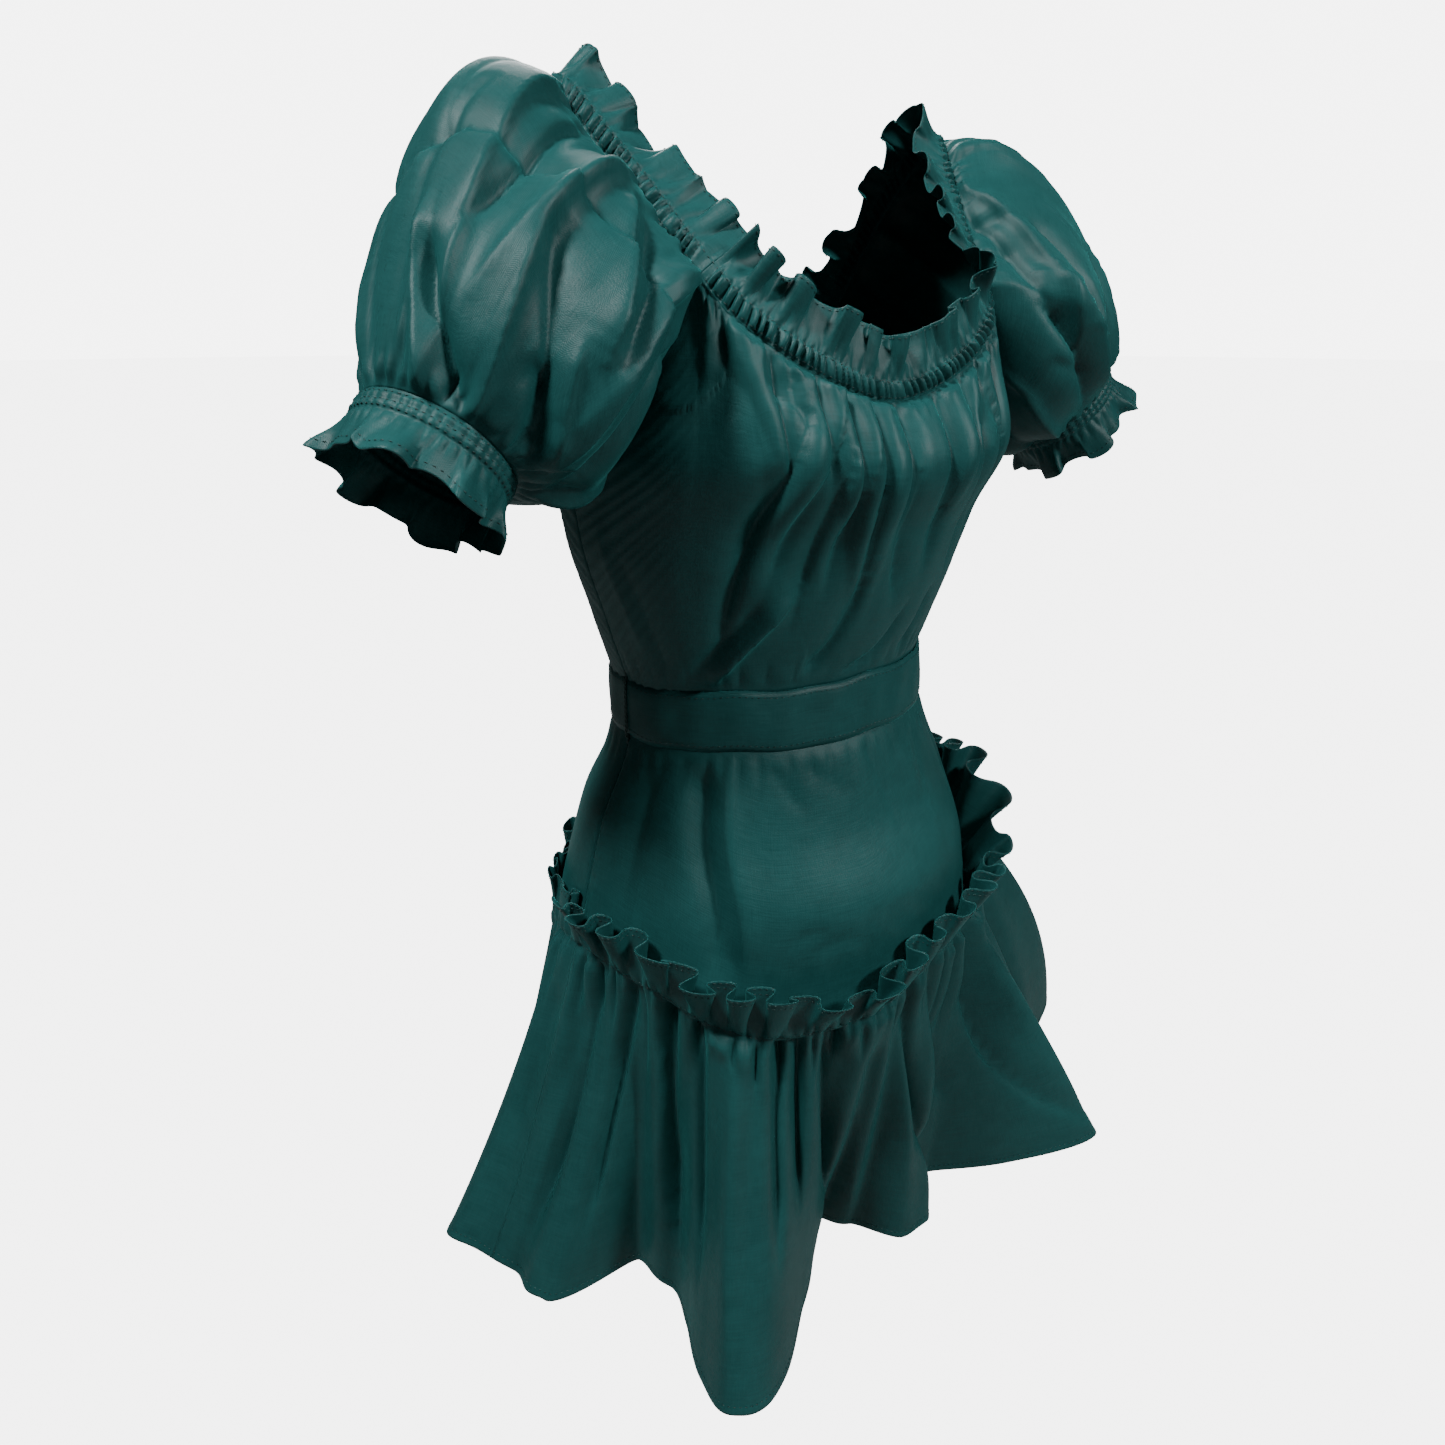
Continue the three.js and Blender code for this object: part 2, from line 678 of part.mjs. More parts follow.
function skirtPanel(name, middle, steps) {
  const half = SIDE_SEAM_ANGLE - SKIRT_SIDE_GAP;
  return wall({
    name,
    columns: spread(middle - half, middle + half, steps),
    rows: [...spread(0, 1, SKIRT_ROWS), 2],
    point: skirtPoint,
    thickness: PANEL_WALL,
  });
}

function headingWave(angle) {
  const turns = (HEADING_WAVES * angle) / 360;
  return driftingWave(turns, HEADING_DRIFT);
}

// Up runs from the hem (-1) through the gathered seam (0) to the top of the heading (1).
function flouncePoint(angle, up) {
  const seam = seamHeight(angle);
  const wave = headingWave(angle);
  if (up >= 0) {
    const height = seam + HEADING_HEIGHT * up;
    const { least, perStand, most } = HEADING_FOLD;
    const depth = Math.min(most, least + perStand * headingStand(angle));
    const stand = headingStand(angle) * up + (SEAM_PINCH + depth * up) * (1 + wave);
    return torsoPoint(angle, height, SEAM_GAP + RUFFLE_WALL + stand);
  }
  const down = -up;
  const start = torsoPoint(angle, seam, SEAM_GAP + RUFFLE_WALL + SEAM_PINCH * (1 + wave));
  const outward = vector(start.x, start.y, 0).normalize();
  const flare = hemOut(angle) * (down + hemBow(angle) * down * (1 - down));
  const gathers = FLOUNCE_GATHER_DEPTH * wave * ease(down, 0, 0.25) * (1 - 0.6 * ease(down, 0.3, 1));
  const at = start.addScaledVector(outward, flare + gathers);
  at.z = seam - hemDrop(angle) * down;
  return at;
}

function flouncePanel(name, middle) {
  const half = SIDE_SEAM_ANGLE - FLOUNCE_SIDE_GAP;
  return wall({
    name,
    columns: spread(middle - half, middle + half, HEADING_WAVES * 2),
    rows: [-1, -0.72, -0.45, -0.2, 0, 1],
    point: flouncePoint,
    thickness: RUFFLE_WALL,
    waves: (angle, up) => flouncePoint(angle, up).setZ(0).normalize(),
  });
}

const dress = new THREE.Group();
dress.add(
  bodicePanel('bodice_front', false, FRONT_FOLDS, 44),
  bodicePanel('bodice_back', true, BACK_FOLDS, 38),
  sleeve('sleeve_left', 1),
  sleeve('sleeve_right', -1),
  neckBand('neck_frill_front', -FRONT_JUNCTION, FRONT_JUNCTION, 10),
  neckBand('neck_frill_left', FRONT_JUNCTION, BACK_JUNCTION, 9),
  neckBand('neck_frill_back', BACK_JUNCTION, NECK_ROWS - BACK_JUNCTION, 9),
  neckBand('neck_frill_right', NECK_ROWS - BACK_JUNCTION, NECK_ROWS - FRONT_JUNCTION, 9),
  cuffBand('cuff_frill_left', 1),
  cuffBand('cuff_frill_right', -1),
  belt(),
  beltLoop('belt_loop_left', 1),
  beltLoop('belt_loop_right', -1),
  skirtPanel('skirt_front', 0, 30),
  skirtPanel('skirt_back', 180, 24),
  flouncePanel('flounce_front', 0),
  flouncePanel('flounce_back', 180),
);
dress.position.z = -SHOULDER_HEIGHT;

export default dress;
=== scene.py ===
"""The looks of a short taffeta dress with puff sleeves, a belt and a gathered flounce.

The cloth is worked out in millimetres above the waist, the way its pattern is drawn.
Each piece is turned into the frame's metres when its mesh is made.
"""

import math
from functools import partial

import bpy
import numpy as np
from mathutils import Matrix, Vector


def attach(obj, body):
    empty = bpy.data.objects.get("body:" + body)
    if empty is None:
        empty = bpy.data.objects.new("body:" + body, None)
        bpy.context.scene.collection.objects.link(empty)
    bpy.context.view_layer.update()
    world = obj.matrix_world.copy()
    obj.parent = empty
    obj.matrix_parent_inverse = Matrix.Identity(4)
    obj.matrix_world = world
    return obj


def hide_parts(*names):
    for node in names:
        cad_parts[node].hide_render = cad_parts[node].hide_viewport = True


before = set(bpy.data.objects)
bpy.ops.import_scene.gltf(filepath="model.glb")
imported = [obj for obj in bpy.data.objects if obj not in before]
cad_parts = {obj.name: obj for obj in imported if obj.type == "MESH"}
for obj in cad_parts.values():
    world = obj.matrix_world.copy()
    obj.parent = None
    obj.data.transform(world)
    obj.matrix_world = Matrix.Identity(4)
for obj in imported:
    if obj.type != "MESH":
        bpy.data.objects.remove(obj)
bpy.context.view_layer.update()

# The pattern's sizes, in millimetres.
MM = 0.001
SHOULDER_HEIGHT = 372
UNDERARM_HEIGHT = 205
CLOTH_THICKNESS = 0.6
CASING_WIDTH = 12
CASING_EDGE = CASING_WIDTH / 2
NECK_FRILL_RISE = 26
NECK_FRILL_WAVES = 36
NECK_FRILL_DEPTH = 6
BELOW_CASING = -CASING_EDGE
CUFF_CENTRE = (268, -42, 185)
CUFF_AXIS = (150, -48, -170)
CUFF_RADIUS = 44
CUFF_FRILL_LENGTH = 23
CUFF_FRILL_FLARE = 5
CUFF_FRILL_WAVES = 16
CUFF_FRILL_DEPTH = 4.5
BELT_WIDTH = 42
BELT_OUT = 2.1
BELT_THICKNESS = 1.2
UNDER_BELT = BELT_WIDTH / 2 + 1
HEADING_HEIGHT = 42
HEADING_WAVES = 36
FLOUNCE_GATHER_DEPTH = 5
FLOUNCE_LENGTH = 250
SEAM_OUT = 1.5

# Where a bodice panel's upper edge turns from the neckline to the raglan seam, and how its
# columns turn in and rise off the body on the way up.
NECK_PART = 0.64
TURN_IN = 1.4
MEET_START = 0.45

# Spacings of the gathers, in millimetres: the fine ones at the thread, and those they run into.
# Below them come the turned edges, and the rows and sizes of the stitches.
RUCHE_PITCH = 6
FINE_PITCH = 9.5
FOLD_PITCH = 25
FRILL_PITCH = 36
HEM_TURN = 5
SEAM_PINCH = 2.6
FRILL_HEM = 3.2
NECK_STITCHES = (-4.2, 4.2, 28.6)
CUFF_STITCHES = (-4.4, 0, 4.4, 25.6)
STITCH_LENGTH = 2.3
STITCH_SPACING = 4.2
STITCH_RADIUS = 0.28
STITCH_LIFT = 0.25
STRAND_RADIUS = 0.62
STRAND_SIDES = 8

# Mean radii that turn an angle round the body into a length, in millimetres.
BODICE_WAIST_RADIUS = 130
BODICE_SIDE_RADIUS = 140
SKIRT_WAIST_RADIUS = 125
SKIRT_SIDE_RADIUS = 145
FLOUNCE_SEAM_RADIUS = 165

# How high the gathers, waves and loops stand, and their spacings, in millimetres. Where there are
# two heights, the first is the fine gathers' and the second that of the folds they run into.
# The heading's sway is in radians.
BODICE_GATHERS = (2.4, 6.4)
SLEEVE_GATHERS = (2.3, 3.0)
CUFF_GATHERS = 2.4
CUFF_FINE_PITCH = 9
CUFF_FOLD_PITCH = 24
FLOUNCE_GATHERS = (1.6, 6.8)
FLOUNCE_FINE_PITCH = 9
FLOUNCE_FOLD_PITCH = 21
FLUTE_PITCH = 47
FLUTE_DEPTH = 1.4
RUCHE_DEPTH = 3.4
NECK_FRILL_SWAY = 3.0
CUFF_FRILL_SWAY = 2.8
HEADING_UNEVEN = 5.0
HEADING_FLOP = 8.0
HEADING_SWAY = 0.03
THREADS_PER_METRE = 1900.0

# A crease with a side narrower than this is pressed in crisply there, and softly otherwise.
CRISP_WIDTH = 6.5
CRISP_POWER = 1.1
SOFT_POWER = 1.4

UP = np.array((0.0, 0, 1))


def table(names, rows):
    """The columns of a small table, by name."""
    return dict(zip(names.split(), np.array(rows, float).T))


def vectors(x, y, z):
    return np.stack(np.broadcast_arrays(x, y, z), -1).astype(float)


def dot(a, b):
    return (a * b).sum(-1)


def length(a):
    return np.sqrt(dot(a, a))


def unit(a):
    return a / np.maximum(length(a), 1e-9)[..., None]


def mix(a, b, share):
    return a + (b - a) * share


def ease(value, start, end):
    """0 up to start, 1 from end on, and a smooth slope between them."""
    t = np.clip((np.asarray(value, float) - start) / (end - start), 0, 1)
    return t * t * (3 - 2 * t)


def smooth(rows, key, value, period=0):
    """A curve through one column of a table that never swings past its rows.
    With a period, the table is closed on itself."""
    xs, ys = rows[key], rows[value]
    if period:
        xs = np.concatenate([xs[-2:] - period, xs, xs[:2] + period])
        ys = np.concatenate([ys[-2:], ys, ys[:2]])
    rise = np.diff(ys) / np.diff(xs)
    slopes = np.concatenate([rise[:1], np.zeros(len(xs) - 2), rise[-1:]])
    before, after = rise[:-1], rise[1:]
    rising = before * after > 0
    slopes[1:-1][rising] = (2 * before * after)[rising] / (before + after)[rising]

    def curve(at):
        at = np.asarray(at, float)
        x = xs[2] + np.mod(at - xs[2], period) if period else at
        i = np.clip(np.searchsorted(xs, x, side="right") - 1, 0, len(xs) - 2)
        width = xs[i + 1] - xs[i]
        t = np.clip((x - xs[i]) / width, 0, 1)
        first = (1 + 2 * t) * (1 - t) ** 2
        bend = t * (1 - t) ** 2 * slopes[i] - t * t * (1 - t) * slopes[i + 1]
        return first * ys[i] + (1 - first) * ys[i + 1] + width * bend

    return curve


# Half sizes of the body of the dress at each height above the waist.
TORSO = table("height side front back", [
    (-330, 206, 165, 178),
    (-260, 196, 157, 168),
    (-200, 183, 144, 150),
    (-140, 170, 141, 133),
    (-80, 153, 117, 117),
    (-30, 130, 102, 97),
    (0, 124, 88, 97),
    (60, 140, 107, 100),
    (120, 158, 126, 107),
    (170, 164, 149, 106),
    (220, 152, 125, 106),
    (290, 140, 95, 98),
])

# The middle of the neck casing, from the centre front over the left shoulder to the centre back.
NECKLINE = table("x y height lean tip", [
    (0, -113, 210, 2, 0),
    (59, -111, 226, 4, 4),
    (104, -96, 254, 10, 10),
    (115, -76, 276, 18, 20),
    (139, -23, 337, 35, 32),
    (156, 11, 372, 42, 16),
    (141, 44, 332, 35, 32),
    (119, 71, 266, 18, 20),
    (104, 84, 238, 10, 10),
    (57, 94, 214, 4, 4),
    (0, 97, 206, 2, 0),
])
FRONT_JUNCTION = 3
SHOULDER = 5
BACK_JUNCTION = 7
CENTRE_BACK = 10
NECK_ROWS = 2 * CENTRE_BACK

# Where the raglan seams bend, in front and behind.
RAGLAN_BEND = np.array([(138, -72, 228), (136, 66, 230)], float)

# How the sleeve leaves the armhole and swells, at turns from the shoulder forwards.
SLEEVE_PUFF = table("turn out back up cuff_swell cuff_reach", [
    (0, 62, 0, 44, 30, 66),
    (60, 54, -30, 30, 50, 58),
    (120, 36, -54, -22, 58, 34),
    (180, 34, 0, -62, 52, 16),
    (240, 38, 50, -10, 40, 48),
    (300, 52, 38, 30, 18, 64),
])

# Where the flounce is gathered onto the skirt, and how far its heading stands off there.
FLOUNCE_SEAM = table("angle height stand", [
    (-150, -184, 6),
    (-110, -177, 2),
    (-83, -171, 6),
    (-62, -182, 11),
    (-44, -206, 12),
    (-30, -217, 12),
    (-8, -218, 12),
    (8, -207, 12),
    (20, -201, 12),
    (40, -200, 15),
    (58, -172, 18),
    (78, -140, 20),
    (100, -140, 18),
    (130, -172, 12),
    (175, -185, 10),
])

# The big flutes of the flounce: how far the hem stands out from the seam, how far it drops,
# and how far the flute bows out (or, below zero, hollows) on its way down.
HEM_FLUTES = table("angle out drop bow", [
    (-170, 74, 250, -0.3),
    (-160, 30, 256, -0.3),
    (-149, 14, 254, -0.3),
    (-140, 60, 248, -0.3),
    (-131, 66, 246, -0.3),
    (-122, 34, 252, -0.3),
    (-113, 26, 250, -0.3),
    (-105, 84, 240, -0.3),
    (-98, 110, 236, -0.3),
    (-87, 82, 250, -0.3),
    (-76, 80, 254, -0.3),
    (-67, 8, 256, -0.3),
    (-57, 10, 258, -0.3),
    (-50, 26, 262, -0.3),
    (-44, 64, 262, -0.3),
    (-36, 90, 254, -0.3),
    (-29, 60, 256, -0.3),
    (-22, 0, 262, -0.3),
    (-14, -34, 262, -0.3),
    (-5, -60, 258, -0.3),
    (3, -38, 262, -0.3),
    (9, 2, 262, -0.3),
    (16, 14, 262, -0.3),
    (24, -10, 258, -0.3),
    (30, -8, 256, -0.3),
    (36, 60, 250, 0.1),
    (42, 136, 232, 0.1),
    (52, 74, 240, 0.5),
    (61, 96, 236, 0.7),
    (71, 138, 236, 0.9),
    (82, 112, 240, 0.7),
    (93, 60, 246, 0.4),
    (104, 58, 250, 0.2),
    (114, 92, 246, -0.3),
    (125, 34, 254, -0.3),
    (135, 20, 256, -0.3),
    (145, 76, 250, -0.3),
    (154, 88, 248, -0.3),
    (164, 34, 256, -0.3),
    (177, 26, 256, -0.3),
    (184, 62, 252, -0.3),
])

torso_side = smooth(TORSO, "height", "side")
torso_front = smooth(TORSO, "height", "front")
torso_back = smooth(TORSO, "height", "back")
seam_height = smooth(FLOUNCE_SEAM, "angle", "height", 360)
heading_stand = smooth(FLOUNCE_SEAM, "angle", "stand", 360)
hem_out = smooth(HEM_FLUTES, "angle", "out", 360)
hem_drop = smooth(HEM_FLUTES, "angle", "drop", 360)
hem_bow = smooth(HEM_FLUTES, "angle", "bow", 360)


def torso_point(angle, height, out=0.0):
    """A point on the body of the dress: angle 0 is the centre front, 90 the wearer's left side."""
    turn = np.radians(angle)
    depth = np.where(np.cos(turn) > 0, torso_front(height), torso_back(height)) + out
    side = torso_side(height) + out
    return vectors(side * np.sin(turn), -depth * np.cos(turn), height)


def torso_angle(points):
    depth = np.where(points[..., 1] < 0, torso_front(points[..., 2]), torso_back(points[..., 2]))
    across = points[..., 0] / torso_side(points[..., 2])
    return np.degrees(np.arctan2(across, -points[..., 1] / depth))


half_neck = np.stack([NECKLINE["x"], NECKLINE["y"], NECKLINE["height"]], 1)
NECK_POINTS = np.concatenate([half_neck, (half_neck * (-1, 1, 1))[-2:0:-1]])
NECKLINE["place"] = np.arange(len(half_neck), dtype=float)
lean_at = smooth(NECKLINE, "place", "lean")
tip_at = smooth(NECKLINE, "place", "tip")


def neck_middle(place):
    """The neckline's closed curve, through its table and the mirror image of it."""
    place = np.mod(place, NECK_ROWS)
    start = np.floor(place).astype(int)
    share = (place - start)[..., None]
    before, here, there, after = (NECK_POINTS[(start + i) % NECK_ROWS] for i in (-1, 0, 1, 2))
    gap_before, gap, gap_after = (
        np.sqrt(length(b - a))[..., None] for a, b in ((before, here), (here, there), (there, after))
    )
    leave = ((here - before) / gap_before - (there - before) / (gap_before + gap)) * gap + there - here
    arrive = ((after - there) / gap_after - (after - here) / (gap + gap_after)) * gap + there - here
    curve = (2 * here - 2 * there + leave + arrive) * share
    bend = 3 * there - 3 * here - 2 * leave - arrive
    return here + share * (leave + share * (bend + curve))


def neck_frame(place):
    """The casing's middle, the way up along it, the way out of it, and the frill's tip there."""
    step = 0.002
    middle = neck_middle(place)
    along = unit(neck_middle(place + step) - neck_middle(place - step))
    turns = np.mod(place / NECK_ROWS, 1)
    half_place = np.minimum(turns, 1 - turns) * NECK_ROWS
    inward = unit(-middle * (1, 1, 0))
    lean = np.radians(lean_at(half_place))[..., None]
    rise = np.cos(lean) * UP + np.sin(lean) * inward
    rise = unit(rise - dot(rise, along)[..., None] * along)
    return middle, rise, unit(np.cross(along, rise)), np.radians(tip_at(half_place))


def neck_point(place, up):
    middle, rise, _, _ = neck_frame(place)
    return middle + rise * np.asarray(up, float)[..., None]


neck_places = np.linspace(0, NECK_ROWS, 401)
neck_lengths = np.concatenate([[0], np.cumsum(length(np.diff(neck_middle(neck_places), axis=0)))])


def neck_length(place):
    """How far round the neckline a place is, in millimetres from the centre front."""
    laps = np.floor(place / NECK_ROWS)
    return laps * neck_lengths[-1] + np.interp(np.mod(place, NECK_ROWS), neck_places, neck_lengths)


def raglan_point(is_back, share):
    """The raglan seam from the neckline (0) to the underarm (1)."""
    junction = neck_point(np.array(BACK_JUNCTION if is_back else FRONT_JUNCTION, float), BELOW_CASING)
    bend = RAGLAN_BEND[1 if is_back else 0]
    underarm = torso_point(90.0, UNDERARM_HEIGHT)
    share = np.asarray(share, float)[..., None]
    return (1 - share) ** 2 * junction + 2 * share * (1 - share) * bend + share**2 * underarm


def bodice_edge(is_back, across):
    """The upper edge of a bodice panel, from one underarm (-1) to the other (1)."""
    reach = np.abs(across)
    junction = BACK_JUNCTION if is_back else FRONT_JUNCTION
    centre = CENTRE_BACK if is_back else 0
    along_neck = neck_point(centre + (junction - centre) * np.minimum(reach / NECK_PART, 1), BELOW_CASING)
    along_raglan = raglan_point(is_back, np.maximum(reach - NECK_PART, 0) / (1 - NECK_PART))
    edge = np.where((reach <= NECK_PART)[..., None], along_neck, along_raglan)
    return edge * vectors(np.where(across < 0, -1, 1), 1, 1)


def bodice_place(is_back, across, up):
    """Angle, height and base point of the bodice. Up runs from the waist under the belt (-1),
    over the belt's edge (0), to the upper edge (1)."""
    edge = bodice_edge(is_back, across)
    low_angle = 180 - 90 * across if is_back else 90 * across
    edge_angle = torso_angle(edge)
    if is_back:
        edge_angle = np.where(edge_angle < 0, edge_angle + 360, edge_angle)
    share = np.maximum(up, 0)
    angle = mix(low_angle, edge_angle, ease(share, 0, TURN_IN) / ease(1.0, 0, TURN_IN))
    height = np.where(up < 0, mix(UNDER_BELT, 0, -up), mix(UNDER_BELT, edge[..., 2], up))
    body = torso_point(angle, height)
    meet = edge - torso_point(edge_angle, edge[..., 2])
    return angle, height, body + meet * ease(share, MEET_START, 1)[..., None]


cuff_centre = np.array(CUFF_CENTRE, float)
arm_direction = unit(np.array(CUFF_AXIS, float))
cuff_top = unit(np.array((1.0, 0, 1)) - arm_direction * dot(np.array((1.0, 0, 1)), arm_direction))
cuff_front = np.cross(arm_direction, cuff_top)
cuff_front *= -np.sign(cuff_front[1])

puff_out, puff_back, puff_up, cuff_swell, cuff_reach = (
    smooth(SLEEVE_PUFF, "turn", column, 360)
    for column in ("out", "back", "up", "cuff_swell", "cuff_reach")
)


def cuff_radial(turn):
    angle = np.radians(turn)[..., None]
    return np.cos(angle) * cuff_top + np.sin(angle) * cuff_front


def armhole_point(turn):
    """The armhole's loop: turn 0 is at the shoulder, 90 at the front junction, 180 underarm."""
    quarter = np.mod(turn, 360) / 90
    places = np.where(
        quarter <= 1,
        mix(SHOULDER, FRONT_JUNCTION, quarter),
        mix(BACK_JUNCTION, SHOULDER, quarter - 3),
    )
    neck = neck_point(places, BELOW_CASING)
    front = raglan_point(False, np.clip(quarter - 1, 0, 1))
    back = raglan_point(True, np.clip(3 - quarter, 0, 1))
    under = np.where((quarter <= 2)[..., None], front, back)
    return np.where(((quarter <= 1) | (quarter > 3))[..., None], neck, under)


def sleeve_base(turn, along):
    """The puffed sleeve from the armhole (0) to the cuff's casing (1), without its folds."""
    start = armhole_point(turn)
    radial = cuff_radial(turn)
    end = cuff_centre - arm_direction * CASING_EDGE + radial * CUFF_RADIUS
    leave = start + vectors(puff_out(turn), puff_back(turn), puff_up(turn))
    arrive = end + radial * cuff_swell(turn)[..., None] - arm_direction * cuff_reach(turn)[..., None]
    t = np.asarray(along, float)[..., None]
    s = 1 - t
    return s**3 * start + 3 * s * s * t * leave + 3 * s * t * t * arrive + t**3 * end


def wander(x, seed, pace=1.0):
    """Smooth unevenness along x, from about -1 to 1, the same on every run."""
    rng = np.random.default_rng(seed)
    total = 0
    for rate in (0.4, 0.9, 1.8):
        total = total + np.sin(x * pace * rate * rng.uniform(0.8, 1.25) + rng.uniform(0, 2 * math.pi))
    return total / 2


def gathers(turns, seed, crisp=0.75):
    """Uneven folds, one to a turn, with round ridges and sharp valleys, from -1 to 1."""
    uneven = turns + 0.32 * wander(turns, seed)
    ridge = np.abs(np.sin(np.pi * uneven)) ** crisp
    return (2 * ridge - 1) * (0.75 + 0.3 * wander(turns, seed + 1, 0.7))


def drifting_wave(turns, amount, rate):
    """The even wave of the solid's frills, whose spacing drifts."""
    even = 2 * math.pi * turns
    return np.cos(even + amount * np.sin(even * rate))


def outward(points, closed=False):
    """The unit normals of a grid of points."""
    if closed:
        across = np.roll(points, -1, axis=1) - np.roll(points, 1, axis=1)
    else:
        across = np.gradient(points, axis=1)
    return unit(np.cross(across, np.gradient(points, axis=0)))


def fold_height(folds, angle, height):
    """The long folds of the solid: ridges that fall from one angle to another."""
    total = np.zeros(np.shape(angle))
    for top_angle, low_angle, top, low, width, depth in folds:
        down = np.clip((top - height) / (top - low), 0, 1)
        turn = np.mod(angle - mix(top_angle, low_angle, down) + 180, 360) - 180
        ridge = np.exp(-((turn / (width * (1 + 0.7 * down))) ** 2))
        total = total + depth * ridge * ease(top - height, 0, 20) * ease(height, low, low + 40)
    return total


def creases(points, out, place, rows):
    """Soft ridges and, where the depth is below zero, troughs. A row gives three places that the
    crease runs through, its widths on either side, and its depth. A narrow side is crisp."""
    relief = np.zeros(points.shape[:2])
    share = np.linspace(0, 1, 15)
    weights = np.stack([(1 - share) * (1 - 2 * share), 4 * share * (1 - share), share * (2 * share - 1)])
    for u0, v0, u1, v1, u2, v2, before, after, depth in rows:
        line = place(np.array((u0, u1, u2)) @ weights, np.array((v0, v1, v2)) @ weights)
        along = unit(np.gradient(line, axis=0))
        step = length(np.diff(line, axis=0)).mean()
        gap = points[:, :, None] - line
        nearest = dot(gap, gap).argmin(-1)
        gap = np.take_along_axis(gap, nearest[..., None, None], 2)[:, :, 0]
        tangent = along[nearest]
        forward = dot(gap, tangent)
        off = gap - tangent * forward[..., None]
        side = dot(off, np.cross(out, tangent))
        width = np.where(side > 0, after, before)
        t = (nearest + forward / step) / (len(share) - 1)
        ends = ease(t, -0.02, 0.28) * ease(1 - t, -0.02, 0.28)
        power = np.where(width < CRISP_WIDTH, CRISP_POWER, SOFT_POWER)
        relief += depth * np.exp(-((length(off) / width) ** power)) * ends
    return relief


def stray_creases(seed, count, u, v, run, width, depth):
    """Rows for small creases scattered over a stretch of a piece, uneven in length and depth."""
    rng = np.random.default_rng(seed)
    rows = []
    for _ in range(count):
        u0, v0 = rng.uniform(*u), rng.uniform(*v)
        du, dv = run[0] * rng.uniform(-1, 1), run[1] * rng.uniform(0.4, 1) * rng.choice((-1, 1))
        bow = rng.uniform(-0.2, 0.2)
        wide = width * rng.uniform(0.6, 1.4)
        sides = (wide, wide * rng.uniform(0.2, 0.5))
        before, after = sides if rng.random() < 0.5 else sides[::-1]
        rows.append((
            u0 - du, v0 - dv, u0 + bow * du, v0 - bow * dv, u0 + du, v0 + dv,
            before, after, depth * rng.uniform(0.4, 1) * rng.choice((-1, 1)),
        ))
    return rows


def lengths(points, axis):
    """How far each row or column of a grid lies from its first one, in millimetres."""
    steps = length(np.diff(points, axis=axis))
    start = np.zeros_like(np.take(steps, [0], axis))
    return np.concatenate([start, np.cumsum(steps, axis)], axis)


def in_frame(points):
    """The pattern's millimetres above the waist as metres in the frame."""
    return (points - (0, 0, SHOULDER_HEIGHT)) * MM


def add_object(name, data):
    made = bpy.data.objects.new(name, data)
    bpy.context.scene.collection.objects.link(made)
    return made


def cloth(name, points, closed=False, thickness=CLOTH_THICKNESS):
    """A piece of cloth through a grid of points, with its grain in metres as its UV map."""
    rows, columns = points.shape[:2]
    index = np.arange(rows * columns).reshape(rows, columns)
    across = lengths(np.concatenate([points, points[:, :1]], 1) if closed else points, 1).mean(0) * MM
    along = lengths(points, 0) * MM
    next_column = np.roll(index, -1, 1) if closed else index[:, 1:]
    column = index if closed else index[:, :-1]
    corners = ((column[:-1], 0, 0), (next_column[:-1], 1, 0), (next_column[1:], 1, 1), (column[1:], 0, 1))
    faces = np.stack([corner for corner, _, _ in corners], -1).reshape(-1, 4)
    mesh = bpy.data.meshes.new(name)
    mesh.from_pydata(in_frame(points).reshape(-1, 3).tolist(), [], faces.tolist())
    starts = np.arange(column.shape[1])
    grain = np.stack([
        np.stack([
            np.broadcast_to(across[starts + step], (rows - 1, len(starts))),
            along[lift:rows - 1 + lift][:, (starts + step) % columns],
        ], -1)
        for _, step, lift in corners
    ], 2)
    mesh.uv_layers.new(name="grain").data.foreach_set("uv", grain.reshape(-1).astype(np.float32))
    mesh.shade_smooth()
    piece = add_object(name, mesh)
    wall = piece.modifiers.new("cloth thickness", "SOLIDIFY")
    wall.thickness = thickness * MM
    wall.offset = -1
    return piece


stitch_lines = []


def sew(points, normals, rows, closed=False):
    """Keeps a row of stitches along each of these rows of a grid of points."""
    for row in rows:
        stitch_lines.append((points[row] + normals[row] * STITCH_LIFT, closed))


def rows_at(rows, places):
    """The rows that lie nearest to these places."""
    return [np.argmin(np.abs(rows - place)) for place in places]


def grid(across, up):
    return np.meshgrid(across, up)


def rise_from_seam(distance, width=2.4, height=0.7):
    """The cloth stands a little proud beside the seam that it is sewn into."""
    return height * ease(distance, 0, width)


FRONT_FOLDS = (
    (-32, -56, 220, 40, 3.2, 4),
    (-26, -47, 214, 28, 3.4, 6),
    (-20, -37, 210, 28, 3, 5),
    (-14, -26, 208, 30, 2.6, 5),
    (-8, -18, 206, 40, 2.6, 5),
    (-2, -9, 206, 50, 2.4, 4.5),
    (4, 0, 206, 34, 2.6, 5),
    (10, 9, 208, 60, 2.4, 4.5),
    (16, 19, 210, 30, 2.8, 5),
    (23, 28, 214, 70, 2.8, 4),
)
BACK_FOLDS = (
    (150, 146, 206, 90, 3.2, 3.5),
    (158, 157, 202, 60, 3, 4),
    (167, 168, 200, 40, 3, 4),
    (176, 178, 198, 80, 2.8, 4),
    (185, 187, 198, 44, 3, 4),
    (194, 197, 200, 70, 3, 4),
    (203, 208, 204, 90, 3.2, 3.5),
)
SKIRT_FOLDS = ((-57, -40, -26, -190, 4, -5), (18, 26, -34, -130, 4, 2.5))

